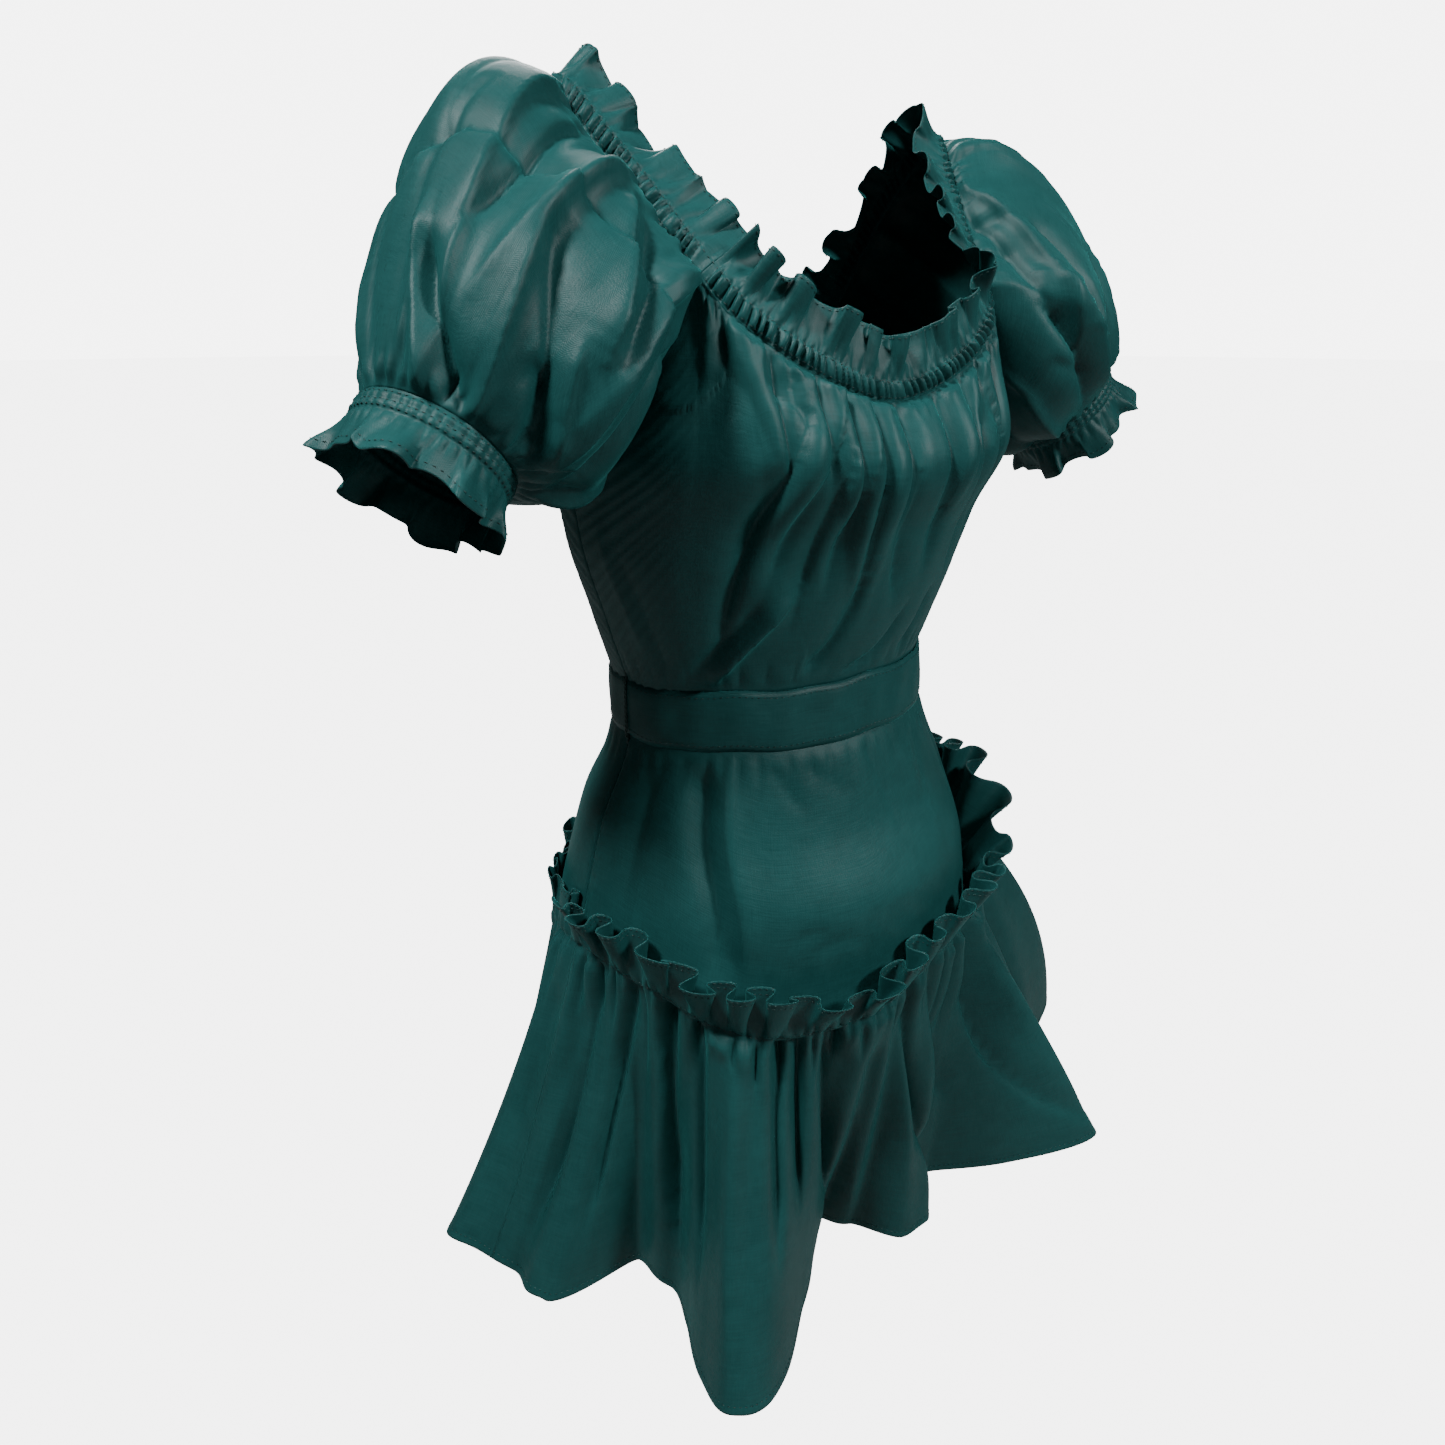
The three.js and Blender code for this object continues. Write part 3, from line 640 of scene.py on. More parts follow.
# The creases of each piece, as the function creases reads them. On a bodice and the skirt the
# places are angle and height, on a sleeve turn and share of its length.
FRONT_CREASES = (
    (-27, 212, -37, 142, -51, 26, 9, 3.5, -6),
    (-19, 214, -27, 155, -36, 90, 4, 10, -5.5),
    (-18, 196, -22, 141, -28, 60, 10, 3.5, -4.5),
    (-10, 208, -16, 150, -20, 84, 3.5, 8, -5),
    (-2, 206, -8, 168, -12, 130, 8, 3.5, -5),
    (2, 190, 0, 130, 5, 70, 3.5, 10, -5),
    (13, 208, 13, 150, 14, 90, 9, 3.5, -5),
    (22, 210, 25, 150, 30, 80, 3.5, 11, -5),
    (31, 216, 37, 160, 46, 80, 12, 4, -4.5),
    (-42, 205, -39, 160, -40, 105, 18, 14, -4),
    (-52, 232, -47, 240, -40, 246, 7, 4, -4),
    (-36, 240, -39, 216, -30, 200, 4, 9, -5),
    (-30, 226, -33, 206, -26, 188, 4, 8, -4),
    (-53, 20, -39, 58, -24, 96, 3.5, 16, 6.5),
    (-60, 30, -46, 60, -34, 96, 8, 5, -4),
    (-23, 34, -13, 52, -6, 118, 3.5, 9, -4),
    (-10, 28, 5, 38, 12, 78, 5, 3.5, -3.5),
    (16, 28, 22, 50, 24, 84, 6, 4, -3),
    (36, 28, 42, 52, 50, 90, 7, 5, -3.2),
    (-66, 200, -51, 206, -42, 232, 5, 9, 4),
    (-60, 192, -50, 196, -42, 212, 5, 5, -3),
    (-74, 40, -78, 90, -82, 140, 9, 6, 1.6),
    (-66, 30, -70, 70, -76, 130, 6, 8, -1.8),
    (60, 34, 66, 80, 74, 150, 8, 5, -2.4),
    (46, 200, 52, 160, 60, 110, 4, 9, -3),
)
BACK_CREASES = (
    (204, 200, 214, 140, 228, 40, 9, 4, -5),
    (196, 198, 203, 150, 210, 84, 4, 10, -5),
    (188, 194, 190, 140, 196, 66, 9, 4, -4.5),
    (180, 196, 178, 150, 181, 96, 4, 9, -5),
    (171, 194, 168, 140, 166, 60, 9, 4, -4.5),
    (163, 198, 157, 150, 150, 80, 4, 10, -5),
    (154, 200, 146, 140, 134, 46, 9, 4, -5),
    (232, 30, 219, 60, 205, 100, 4, 14, 5),
    (130, 30, 142, 58, 157, 92, 14, 4, 5),
    (196, 30, 188, 54, 182, 110, 4, 9, -4),
    (170, 28, 160, 46, 150, 78, 5, 4, -3.4),
    *stray_creases(8, 12, (115, 245), (50, 190), (7, 34), 5, 2.6),
)
SKIRT_CREASES = (
    (-55, -26, -49, -88, -46, -190, 10, 5, -5),
    (-48, -26, -43, -100, -38, -200, 4, 12, 4.5),
    (-24, -28, -16, -42, -6, -58, 6, 3.5, -1.4),
    (-1, -24, 4, -50, 9, -104, 3.5, 9, -1.6),
    (-34, -26, -29, -44, -20, -66, 5, 4, -1.6),
    (30, -26, 27, -52, 20, -96, 8, 3.5, -1.4),
    (52, -28, 50, -60, 54, -110, 7, 5, -2),
    (-30, -150, -24, -142, -17, -148, 3, 2.5, -1.6),
    (-24, -160, -16, -152, -8, -160, 3, 3, -1.5),
    (-75, -30, -72, -80, -76, -140, 10, 6, -2.2),
    (120, -30, 126, -80, 122, -140, 8, 6, -2.6),
    (155, -28, 150, -70, 158, -130, 7, 6, -2.4),
    (200, -30, 205, -84, 198, -150, 8, 5, -2.6),
    (236, -30, 232, -76, 240, -140, 7, 6, -2.4),
)
NEAR_SLEEVE_CREASES = (
    (12, -0.1, 37, 0.45, 42, 1.1, 4, 17, 5.5),
    (30, -0.1, 47, 0.34, 35, 0.72, 8, 3.5, -5.5),
    (56, -0.1, 60, 0.42, 46, 0.86, 12, 5, 4),
    (66, 0.0, 63, 0.56, 83, 1.1, 3.5, 11, 5.5),
    (62, 0.46, 74, 0.66, 110, 1.0, 12, 3.5, -5.5),
    (64, 0.1, 83, 0.4, 98, 0.66, 3.5, 14, 6),
    (71, 0.1, 89, 0.37, 103, 0.62, 6, 5, -6),
    (92, -0.05, 104, 0.5, 136, 1.0, 4, 15, 5.5),
    (108, 0.2, 122, 0.55, 150, 0.95, 9, 4, -5),
    (30, 0.68, 42, 0.84, 80, 1.04, 5, 9, -9),
    (22, 0.6, 28, 0.8, 52, 1.04, 10, 4, 4.5),
    (78, 0.78, 96, 0.84, 124, 0.98, 4, 9, -5.5),
    (86, 0.62, 100, 0.78, 128, 0.9, 3.5, 10, 3.5),
    (355, -0.05, 10, 0.5, 14, 1.05, 4, 14, -4.5),
    (334, -0.05, 340, 0.5, 346, 1.05, 16, 4, 5),
    (312, -0.05, 318, 0.5, 316, 1.05, 4, 12, -5),
    (290, -0.05, 292, 0.5, 298, 1.05, 14, 4, 5),
    (268, -0.05, 272, 0.5, 270, 1.05, 4, 12, -5),
    (244, -0.05, 246, 0.5, 250, 1.05, 12, 4, 5),
    (222, -0.05, 222, 0.5, 228, 1.05, 4, 11, -4.5),
    (200, -0.05, 198, 0.5, 204, 1.05, 12, 4, 4.5),
    (176, -0.05, 178, 0.5, 176, 1.05, 4, 11, -4.5),
    (154, -0.05, 158, 0.5, 160, 1.05, 12, 4, 4),
)
FAR_SLEEVE_CREASES = (
    (36, -0.05, 76, 0.24, 112, 0.56, 3.5, 14, 6),
    (46, -0.05, 72, 0.1, 100, 0.3, 7, 4, -5),
    (96, 0.2, 107, 0.5, 118, 0.95, 4, 11, -7),
    (46, 0.5, 60, 0.74, 82, 0.68, 4, 10, -6),
    (18, -0.05, 27, 0.45, 28, 1.05, 15, 4, 5.5),
    (4, -0.05, 12, 0.5, 10, 1.05, 4, 13, -5),
    (82, 0.16, 92, 0.56, 102, 1.0, 13, 4, 5.5),
    (62, 0.18, 72, 0.46, 86, 0.74, 4, 10, -5),
    (34, 0.56, 44, 0.85, 40, 1.04, 10, 4, 4.5),
    (347, -0.05, 342, 0.5, 346, 1.05, 4, 14, -4.5),
    (326, -0.05, 328, 0.5, 322, 1.05, 15, 4, 5),
    (303, -0.05, 298, 0.5, 304, 1.05, 4, 12, -5),
    (280, -0.05, 276, 0.5, 272, 1.05, 14, 4, 5),
    (256, -0.05, 256, 0.5, 250, 1.05, 4, 12, -5),
    (230, -0.05, 232, 0.5, 230, 1.05, 12, 4, 4.5),
    (206, -0.05, 206, 0.5, 210, 1.05, 4, 11, -4.5),
    (180, -0.05, 182, 0.5, 182, 1.05, 12, 4, 4.5),
    (156, -0.05, 158, 0.5, 160, 1.05, 4, 11, -4.5),
    (132, -0.05, 138, 0.5, 140, 1.05, 12, 4, 4.5),
)


def bodice(name, is_back, columns, rows, folds, rows_of_creases, seed):
    """A bodice panel, gathered into the neck casing and eased onto the belt."""
    across, up = grid(
        np.linspace(1, -1, columns) if is_back else np.linspace(-1, 1, columns),
        np.concatenate([[-1, -0.5], np.linspace(0, 1, rows)]),
    )
    angle, height, base = bodice_place(is_back, across, up)
    out = outward(base)
    height_along = lengths(base, 0)
    down = height_along[-1] - height_along
    above_belt = height_along - height_along[2]
    reach = np.abs(across)
    junction, centre = (BACK_JUNCTION, CENTRE_BACK) if is_back else (FRONT_JUNCTION, 0)
    round_neck = neck_length(centre + (junction - centre) * np.minimum(reach / NECK_PART, 1))
    round_neck = round_neck * np.where(across < 0, -1, 1)
    on_neck = 1 - ease(reach, NECK_PART - 0.05, NECK_PART + 0.04)
    long_folds = fold_height(folds, angle, height) * (0.1 + 0.15 * ease(height, 90, 180))
    relief = long_folds * ease(down, 0, 14)
    fine = gathers(round_neck / FINE_PITCH, seed, 0.6) * (1 - ease(down, 4, 20))
    reach_down = 86 + 50 * wander(round_neck / 24, seed + 3)
    middle = gathers(round_neck / FOLD_PITCH, seed + 2, 0.45) * ease(down, 0, 10)
    middle *= 1 - ease(down / reach_down, 0.35, 1)
    relief += on_neck * (BODICE_GATHERS[0] * fine + BODICE_GATHERS[1] * middle)
    round_waist = np.radians(angle) * BODICE_WAIST_RADIUS
    eased = gathers(round_waist / 15, seed + 4) * (1 - ease(above_belt, 5, 32))
    relief += 1.2 * eased * (0.5 + 0.5 * wander(round_waist / 40, seed + 6)) * ease(above_belt, -1, 4)
    relief += 1.3 * creases(base, out, partial(torso_point, out=1.0), rows_of_creases)
    relief *= ease(down, 0, 7)
    relief *= ease(height, UNDER_BELT - 3, UNDER_BELT + 10)
    on_raglan = 1 - on_neck
    relief *= 1 - on_raglan * (1 - ease(down, 0, 8))
    side = 90 - np.abs(np.mod(angle - 180 * is_back + 180, 360) - 180)
    from_side = np.radians(np.maximum(side, 0)) * BODICE_SIDE_RADIUS
    relief *= 0.1 + 0.9 * ease(from_side, 0, 9)
    pucker = np.sin(down * 0.6 + 2 * wander(down * 0.1, seed + 8))
    relief += rise_from_seam(from_side) * ease(reach, 0.6, 0.8) * (1 + 0.4 * pucker)
    ripple = np.sin(across * 320 + 2 * wander(across * 30, seed + 9)) * (1 - ease(down, 3, 12))
    relief += on_raglan * (rise_from_seam(down) + 0.12 * ripple * ease(down, 0, 3))
    return cloth(name, base + out * relief[..., None])


def sleeve(name, mirror, columns, rows, rows_of_creases, seed):
    """A puffed sleeve, gathered into the neck casing and into the cuff."""
    closer_at_ends = ease(np.linspace(0, 1, rows), -0.25, 1.25)
    closer_at_ends = (closer_at_ends - closer_at_ends[0]) / (closer_at_ends[-1] - closer_at_ends[0])
    turn, along = grid(np.linspace(0, 360, columns, endpoint=False), closer_at_ends)
    base = sleeve_base(turn, along)
    out = outward(base, closed=True)
    from_neck = lengths(base, 0)
    from_cuff = from_neck[-1] - from_neck
    half_turn = np.mod(turn + 180, 360) - 180
    to_front = np.where(half_turn >= 0, mix(SHOULDER, FRONT_JUNCTION, half_turn / 90), 0)
    to_back = np.where(half_turn < 0, mix(SHOULDER, BACK_JUNCTION, -half_turn / 90), 0)
    round_neck = neck_length(np.clip(to_front + to_back, FRONT_JUNCTION, BACK_JUNCTION))
    on_neck = 1 - ease(np.abs(half_turn), 82, 100)

    def whole(pitch):
        """A whole number of gathers round the cuff, about a pitch apart."""
        return np.round(2 * math.pi * CUFF_RADIUS / pitch) * turn / 360

    def ring(turns, key):
        """Uneven gathers that run into their own start over the last stretch of the ring."""
        lap = turns.max() + (turns[0, 1] - turns[0, 0])
        return mix(gathers(turns, key), gathers(turns - lap, key), ease(turn, 330, 360))

    fine = gathers(round_neck / FINE_PITCH, seed, 0.6) * (1 - ease(from_neck, 4, 24))
    broad = gathers(round_neck / FOLD_PITCH, seed + 2, 0.45) * ease(from_neck, 0, 12)
    reach_down = 76 + 42 * wander(round_neck / 24, seed + 3)
    broad *= 1 - ease(from_neck / reach_down, 0.3, 1)
    relief = on_neck * (SLEEVE_GATHERS[0] * fine + SLEEVE_GATHERS[1] * broad)
    cuff_fine = ring(whole(CUFF_FINE_PITCH), seed + 4) * (1 - ease(from_cuff, 5, 22))
    cuff_broad = ring(whole(CUFF_FOLD_PITCH), seed + 6) * ease(from_cuff, 1, 12)
    relief += CUFF_GATHERS * (cuff_fine + cuff_broad * (1 - ease(from_cuff, 18, 50)))

    strays = stray_creases(seed + 8, 26, (0, 360), (0.05, 0.95), (9, 0.26), 7, 1.8)
    relief += 1.4 * creases(base, out, sleeve_base, rows_of_creases + tuple(strays))
    relief *= ease(from_neck, 0, 9) * ease(from_cuff, 0, 8)
    relief += rise_from_seam(from_neck) * (1 - on_neck)
    points = base + out * relief[..., None]
    return cloth(name, points[:, ::-1] * (-1, 1, 1) if mirror else points, closed=True)


def hem_step(distance, width, depth=0.35):
    """A narrow turned hem: thicker up to its stitching, with a groove along that."""
    groove = np.exp(-(((distance - width) / 0.8) ** 2))
    return depth * (1 - ease(distance, width - 0.4, width + 0.8)) - 0.3 * groove


def neck_band(name, start, end, columns):
    """One stretch of the elastic casing with its standing frill."""
    # The casing laps a millimetre over the panel that is gathered into it.
    rows = np.concatenate([
        (-7,), np.linspace(-6, -3.6, 4), np.linspace(-2.6, 2.6, 5), np.linspace(3.6, 6, 4),
        np.linspace(7.4, 30, 9), (31.2, 32),
    ])
    place, up = grid(np.linspace(start, end, columns), rows)
    middle, rise, out, tip = neck_frame(place)
    round_neck = neck_length(place)
    share = np.mod(round_neck / neck_lengths[-1], 1)
    frill = np.maximum(up - CASING_EDGE, 0)
    casing = np.minimum(up, CASING_EDGE)
    from_front = np.abs(np.mod(place + CENTRE_BACK, NECK_ROWS) - CENTRE_BACK)
    near = np.minimum(np.abs(from_front - FRONT_JUNCTION), np.abs(from_front - BACK_JUNCTION))
    patch = 1 - ease(near, 0.09, 0.2)

    # The casing is ruched by its elastic, between two rows of stitches.
    inner = np.clip(1 - (casing / 5.2) ** 2, 0, 1)
    slanted = round_neck / RUCHE_PITCH + 0.05 * casing * (1 + 0.6 * wander(round_neck / 20, 31))
    ruche = gathers(slanted, 33, 0.7)
    puff = 1.1 * np.sqrt(inner) + RUCHE_DEPTH * ruche * (0.35 + 0.65 * np.sqrt(inner))
    puff = mix(puff, 0.8 * np.sqrt(inner), patch)
    puff = puff * np.where(up > CASING_EDGE, 0, ease(up, -6.2, -4.2)) + 0.15 * (up < -4)
    foot = gathers(round_neck / FINE_PITCH, 35) * (1 - ease(frill, 3, 16)) * ease(frill, -1, 2)

    # The frill stands up in uneven waves, and flops over in places.
    grown = ease(frill, 0, NECK_FRILL_RISE)
    uneven = 1 + 0.5 * wander(round_neck / 30, 40)
    even = drifting_wave(NECK_FRILL_WAVES * share, 0.9, 0.31)
    phase = 2 * math.pi * (round_neck / FRILL_PITCH + 0.32 * wander(round_neck / FRILL_PITCH, 51))
    loose = -np.cos(phase)
    wave = NECK_FRILL_DEPTH * grown * (0.4 * even + 0.9 * loose) * uneven
    wave = wave + 1.6 * ease(frill, 2, 12) * gathers(round_neck / 14, 57)
    curl = grown**2 * (2.0 + 3.0 * wander(round_neck / 26, 61))
    taller = frill / NECK_FRILL_RISE * 1.8 * wander(round_neck / 15, 71)
    sway = NECK_FRILL_SWAY * grown * np.sin(2 * phase)
    tall = casing + (frill + taller) * np.cos(tip) + (wave + curl) * np.sin(tip)
    stand = (wave + curl) * np.cos(tip) - frill * np.sin(tip) + puff + 0.8 * foot
    stand = stand + hem_step(CASING_EDGE + NECK_FRILL_RISE - up, FRILL_HEM, 0.25) * (up > 20)
    along = np.cross(rise, out)
    points = middle + rise * tall[..., None] + out * stand[..., None] + along * sway[..., None]
    sew(points, outward(points), rows_at(rows, NECK_STITCHES))
    return cloth(name, points)


def cuff_band(name, mirror, columns, seed):
    """The cuff's elastic casing with its frill."""
    rows = np.concatenate([
        (-7,), np.linspace(-6, -4, 3), np.linspace(-3, 3, 6), np.linspace(4, 6, 3),
        np.linspace(7.4, 27, 8), (28.2, 29),
    ])
    turn, along = grid(np.linspace(0, 360, columns, endpoint=False), rows)
    radial = cuff_radial(turn)
    frill = np.maximum(along - CASING_EDGE, 0)
    grown = ease(frill, 0, CUFF_FRILL_LENGTH)
    angle = np.radians(turn)
    inner = np.clip(1 - (np.minimum(along, CASING_EDGE) / 5) ** 2, 0, 1)
    ruches = round(2 * math.pi * CUFF_RADIUS / RUCHE_PITCH)
    split = 1 - 0.8 * np.exp(-((along / 0.9) ** 2))
    ruche = np.abs(np.sin(angle * ruches / 2 + 0.5 * np.sin(7 * angle)))
    puff = 1.3 * np.sqrt(inner) * split + (1.1 * ruche - 0.5) * (0.35 + 0.65 * inner * split)
    puff = puff * (along <= CASING_EDGE) * ease(along, -6.2, -4.2) + 0.15 * (along < -4)
    foot = np.abs(np.sin(20 * angle + 0.6 * np.sin(5 * angle))) * (1 - ease(frill, 2, 14))
    even = np.cos(CUFF_FRILL_WAVES * angle)
    flap_phase = 6 * angle + seed + 0.9 * np.sin(2 * angle + seed)
    flaps = np.cos(flap_phase)
    flaps = np.sign(flaps) * np.abs(flaps) ** 0.7
    wave = CUFF_FRILL_DEPTH * (0.35 * even + flaps + 0.35 * np.sin(11 * angle + 2 * seed))
    radius = CUFF_RADIUS + puff + 1.2 * foot * (frill > 0) + grown * (CUFF_FRILL_FLARE + wave)
    radius = radius + hem_step(CASING_EDGE + CUFF_FRILL_LENGTH - along, FRILL_HEM, 0.25) * (along > 18)
    longer = frill / CUFF_FRILL_LENGTH * (2.2 * np.sin(6 * angle + 1 + seed) + 1.2 * np.sin(13 * angle))
    round_way = unit(np.roll(radial, -1, 1) - np.roll(radial, 1, 1))
    sway = CUFF_FRILL_SWAY * grown * np.sin(2 * flap_phase)
    points = (
        cuff_centre + arm_direction * (along + longer)[..., None]
        + radial * radius[..., None] + round_way * sway[..., None]
    )
    normals = outward(points, closed=True)
    if mirror:
        points = points[:, ::-1] * (-1, 1, 1)
        normals = normals[:, ::-1] * (-1, 1, 1)
    sew(points, normals, rows_at(rows, CUFF_STITCHES), closed=True)
    return cloth(name, points, closed=True)


def belt(name):
    """A plain band, straight from its lower edge to its upper one."""
    angle, share = grid(np.linspace(-180, 180, 240, endpoint=False), np.linspace(0, 1, 11))
    low = torso_point(angle, -BELT_WIDTH / 2, BELT_OUT)
    high = torso_point(angle, BELT_WIDTH / 2, BELT_OUT)
    base = mix(low, high, share[..., None])
    out = outward(base, closed=True)
    turns = np.radians(angle)
    relief = 0.5 * np.sin(9 * turns + 2.5 * share) * np.sin(math.pi * share)
    relief += 0.45 * np.sin(23 * turns - 3 * share + 1) * np.sin(math.pi * share)
    relief -= 0.9 * (np.abs(2 * share - 1) ** 8)
    wave = 0.9 * np.sin(7 * turns + 1) + 0.6 * np.sin(15 * turns)
    points = base + out * relief[..., None] + UP * wave[..., None]
    sew(points, outward(points, closed=True), (1, 9), closed=True)
    return cloth(name, points, closed=True, thickness=BELT_THICKNESS)


def skirt(name, middle, columns, rows, seed):
    """The smooth upper skirt, from just over the flounce's seam to the waist."""
    angle, up = grid(
        np.linspace(middle - 90, middle + 90, columns), np.concatenate([np.linspace(0, 1, rows), (1.5, 2)])
    )
    low = seam_height(angle) - 2
    height = np.where(up < 1, mix(low, -UNDER_BELT, up), mix(-UNDER_BELT, -0.15, up - 1))
    base = torso_point(angle, height, 0.0)
    out = outward(base)
    below_belt = -UNDER_BELT - height
    above_seam = height - low
    relief = fold_height(SKIRT_FOLDS, angle, height)
    relief += creases(base, out, partial(torso_point, out=0.5), SKIRT_CREASES)
    round_waist = np.radians(angle) * SKIRT_WAIST_RADIUS
    at_waist = (1 - ease(below_belt, 4, 34)) * ease(below_belt, -1, 5)
    at_seam = (1 - ease(above_seam, 6, 40)) * ease(above_seam, 0, 4)
    relief += 0.9 * gathers(round_waist / 15, seed) * at_waist
    relief += 0.8 * gathers(round_waist / 17, seed + 2) * at_seam
    relief *= ease(below_belt, -2, 8)
    side = 90 - np.abs(angle - middle)
    from_side = np.radians(side) * SKIRT_SIDE_RADIUS
    pucker = np.sin(height * 0.6 + 2 * wander(height * 0.08, seed + 3))
    pucker *= 1 - ease(from_side, 4, 12)
    relief *= ease(from_side, 0, 5) * ease(above_seam, 2, 16)
    relief += rise_from_seam(from_side) * (1 + 0.5 * pucker * ease(above_seam, 2, 16))
    return cloth(name, base + out * relief[..., None])


# On the flounce the places are angle and share of its length.
FLOUNCE_CREASES = (
    (-66, -0.12, -71.5, 0.36, -73, 0.88, 9, 6, -16),
    (-57, -0.12, -58.5, 0.31, -53.5, 0.9, 6, 10.5, -18),
    (-49.5, -0.12, -48, 0.35, -46, 0.83, 9, 5.2, -18),
    (-43.5, -0.1, -42, 0.4, -36, 1.1, 16, 16, 4),
    (-30.5, -0.12, -31, 0.28, -30, 0.7, 6, 9, -18),
    (-25.5, -0.12, -25, 0.25, -24.5, 0.65, 9, 5.2, -14),
    (-16.5, -0.12, -17, 0.31, -5.5, 0.95, 6, 10.5, -18),
    (-8, -0.1, -4, 0.4, 4, 1.1, 12, 12, 4),
    (7, -0.12, 13, 0.46, 29.5, 1.05, 10.5, 6, -18),
    (14, -0.1, 21, 0.34, 33, 0.7, 6, 9, -14),
    (34, -0.12, 37, 0.53, 42, 0.95, 9, 6, -16),
    (56, -0.12, 58, 0.4, 56, 0.9, 6, 10.5, -16),
    (-78.5, -0.12, -81, 0.38, -84, 0.9, 6, 10.5, -14),
)
BACK_FLOUNCE_CREASES = (
    (104, -0.12, 106, 0.4, 104, 0.9, 6, 12, -16),
    (119, -0.12, 116, 0.4, 118, 0.8, 10.5, 6, -16),
    (137, -0.12, 140, 0.4, 138, 0.95, 6, 12, -18),
    (152, -0.12, 150, 0.4, 154, 0.7, 9, 6, -14),
    (168, -0.12, 170, 0.4, 165, 0.95, 6, 12, -18),
    (186, -0.12, 184, 0.4, 188, 0.8, 10.5, 6, -16),
    (201, -0.12, 204, 0.4, 202, 0.95, 6, 12, -18),
    (219, -0.12, 216, 0.4, 220, 0.7, 9, 6, -16),
    (233, -0.12, 236, 0.4, 232, 0.95, 6, 12, -18),
    (251, -0.12, 249, 0.4, 252, 0.8, 10.5, 6, -14),
)


def hanging(angle, down):
    """The smooth surface that the flounce's folds lie on, from its seam to its hem."""
    seam = seam_height(angle)
    start = torso_point(angle, seam, 2.5)
    flare = hem_out(angle) * (down + hem_bow(angle) * down * (1 - down))
    points = start + unit(start * (1, 1, 0)) * flare[..., None]
    points[..., 2] = seam - hem_drop(angle) * down
    return points


def flounce(name, middle, columns, rows, rows_of_creases, seed):
    """The gathered flounce, with the heading that stands above its seam."""
    hem_rows = np.concatenate([(1, 0.994, 0.986, 0.979, 0.972), np.linspace(0.96, 0, rows)])
    angles = np.linspace(middle - 90, middle + 90, columns)
    angle, down = grid(angles, hem_rows)
    seam = seam_height(angle)
    round_seam = np.radians(angle) * FLOUNCE_SEAM_RADIUS
    wave = drifting_wave(HEADING_WAVES * angle / 360, 0.8, 0.25)
    start = torso_point(angle, seam, SEAM_OUT + (1 + wave))
    away = unit(start * (1, 1, 0))
    fall = down * FLOUNCE_LENGTH
    fine = gathers(round_seam / FLOUNCE_FINE_PITCH, seed) * (1 - ease(fall, 4, 24))
    reach_down = 58 + 34 * wander(round_seam / 20, seed + 3)
    small = gathers(round_seam / FLOUNCE_FOLD_PITCH, seed + 2, 0.55) * ease(fall, 0, 11)
    small *= 1 - ease(fall / reach_down, 0.3, 1)
    flutes = gathers(round_seam / FLUTE_PITCH, seed + 4, 0.7)
    flutes *= ease(fall, 10, 60) * (1 - ease(fall, 150, 300))
    even = FLOUNCE_GATHER_DEPTH * wave * ease(down, 0, 0.25) * (1 - 0.6 * ease(down, 0.3, 1))
    flare = hem_out(angle) * (down + hem_bow(angle) * down * (1 - down))
    off_side = ease(90 - np.abs(angle - middle), 0, 4)
    smooth_fall = hanging(angle, down)
    folded = creases(smooth_fall, outward(smooth_fall), hanging, rows_of_creases) * ease(fall, -1, 8)
    gathered = FLOUNCE_GATHERS[0] * fine + FLOUNCE_GATHERS[1] * small
    out_by = flare + 0.5 * even + off_side * (gathered + FLUTE_DEPTH * flutes + folded)
    out_by -= (1.4 + wave) * np.exp(-((fall / SEAM_PINCH) ** 2))
    low_part = start + away * out_by[..., None]
    low_part[..., 2] = smooth_fall[..., 2]

    # The heading stands above the seam in loose loops.
    angle, up = grid(angles, np.concatenate([np.linspace(0.05, 0.93, 15), (0.965, 1)]))
    round_seam = np.radians(angle) * FLOUNCE_SEAM_RADIUS
    turns = HEADING_WAVES * angle / 360
    phase = 2 * math.pi * turns
    wave = drifting_wave(turns, 0.8, 0.25)
    stand = heading_stand(angle)
    depth = np.minimum(9, 1.5 + 0.6 * stand) * (1 + 0.45 * wander(round_seam / 26, seed + 25))
    taller = HEADING_UNEVEN * wander(round_seam / 26, seed + 21)
    flop = HEADING_FLOP * wander(round_seam / 31, seed + 23)
    stands = stand * up + (1 + depth * up) * (1 + wave)
    fine = gathers(round_seam / FLOUNCE_FINE_PITCH, seed) * (1 - ease(up, 0.1, 0.5))
    stands += flop * up**2 + FLOUNCE_GATHERS[0] * fine
    stands -= (1.4 + wave) * np.exp(-((up * HEADING_HEIGHT / SEAM_PINCH) ** 2))
    height = seam_height(angle) + (HEADING_HEIGHT + taller - 0.12 * np.abs(flop)) * up
    lean = 1 + 0.5 * wander(round_seam / 23, seed + 29)
    sway = HEADING_SWAY * up * np.sin(2 * phase + 1.6 * np.sin(phase * 0.25)) * lean
    high_part = torso_point(angle + np.degrees(sway), height, SEAM_OUT + stands)
    points = np.concatenate([low_part, high_part])
    hem = hem_step(FLOUNCE_LENGTH - fall, HEM_TURN)
    top_edge = hem_step((1 - up) * HEADING_HEIGHT, 4, 0.25)
    hems = np.concatenate([hem, top_edge])
    points += outward(points) * hems[..., None]
    sew(points, outward(points), (3, len(hem_rows) - 1, len(points) - 2, len(points) - 4))
    return cloth(name, points)


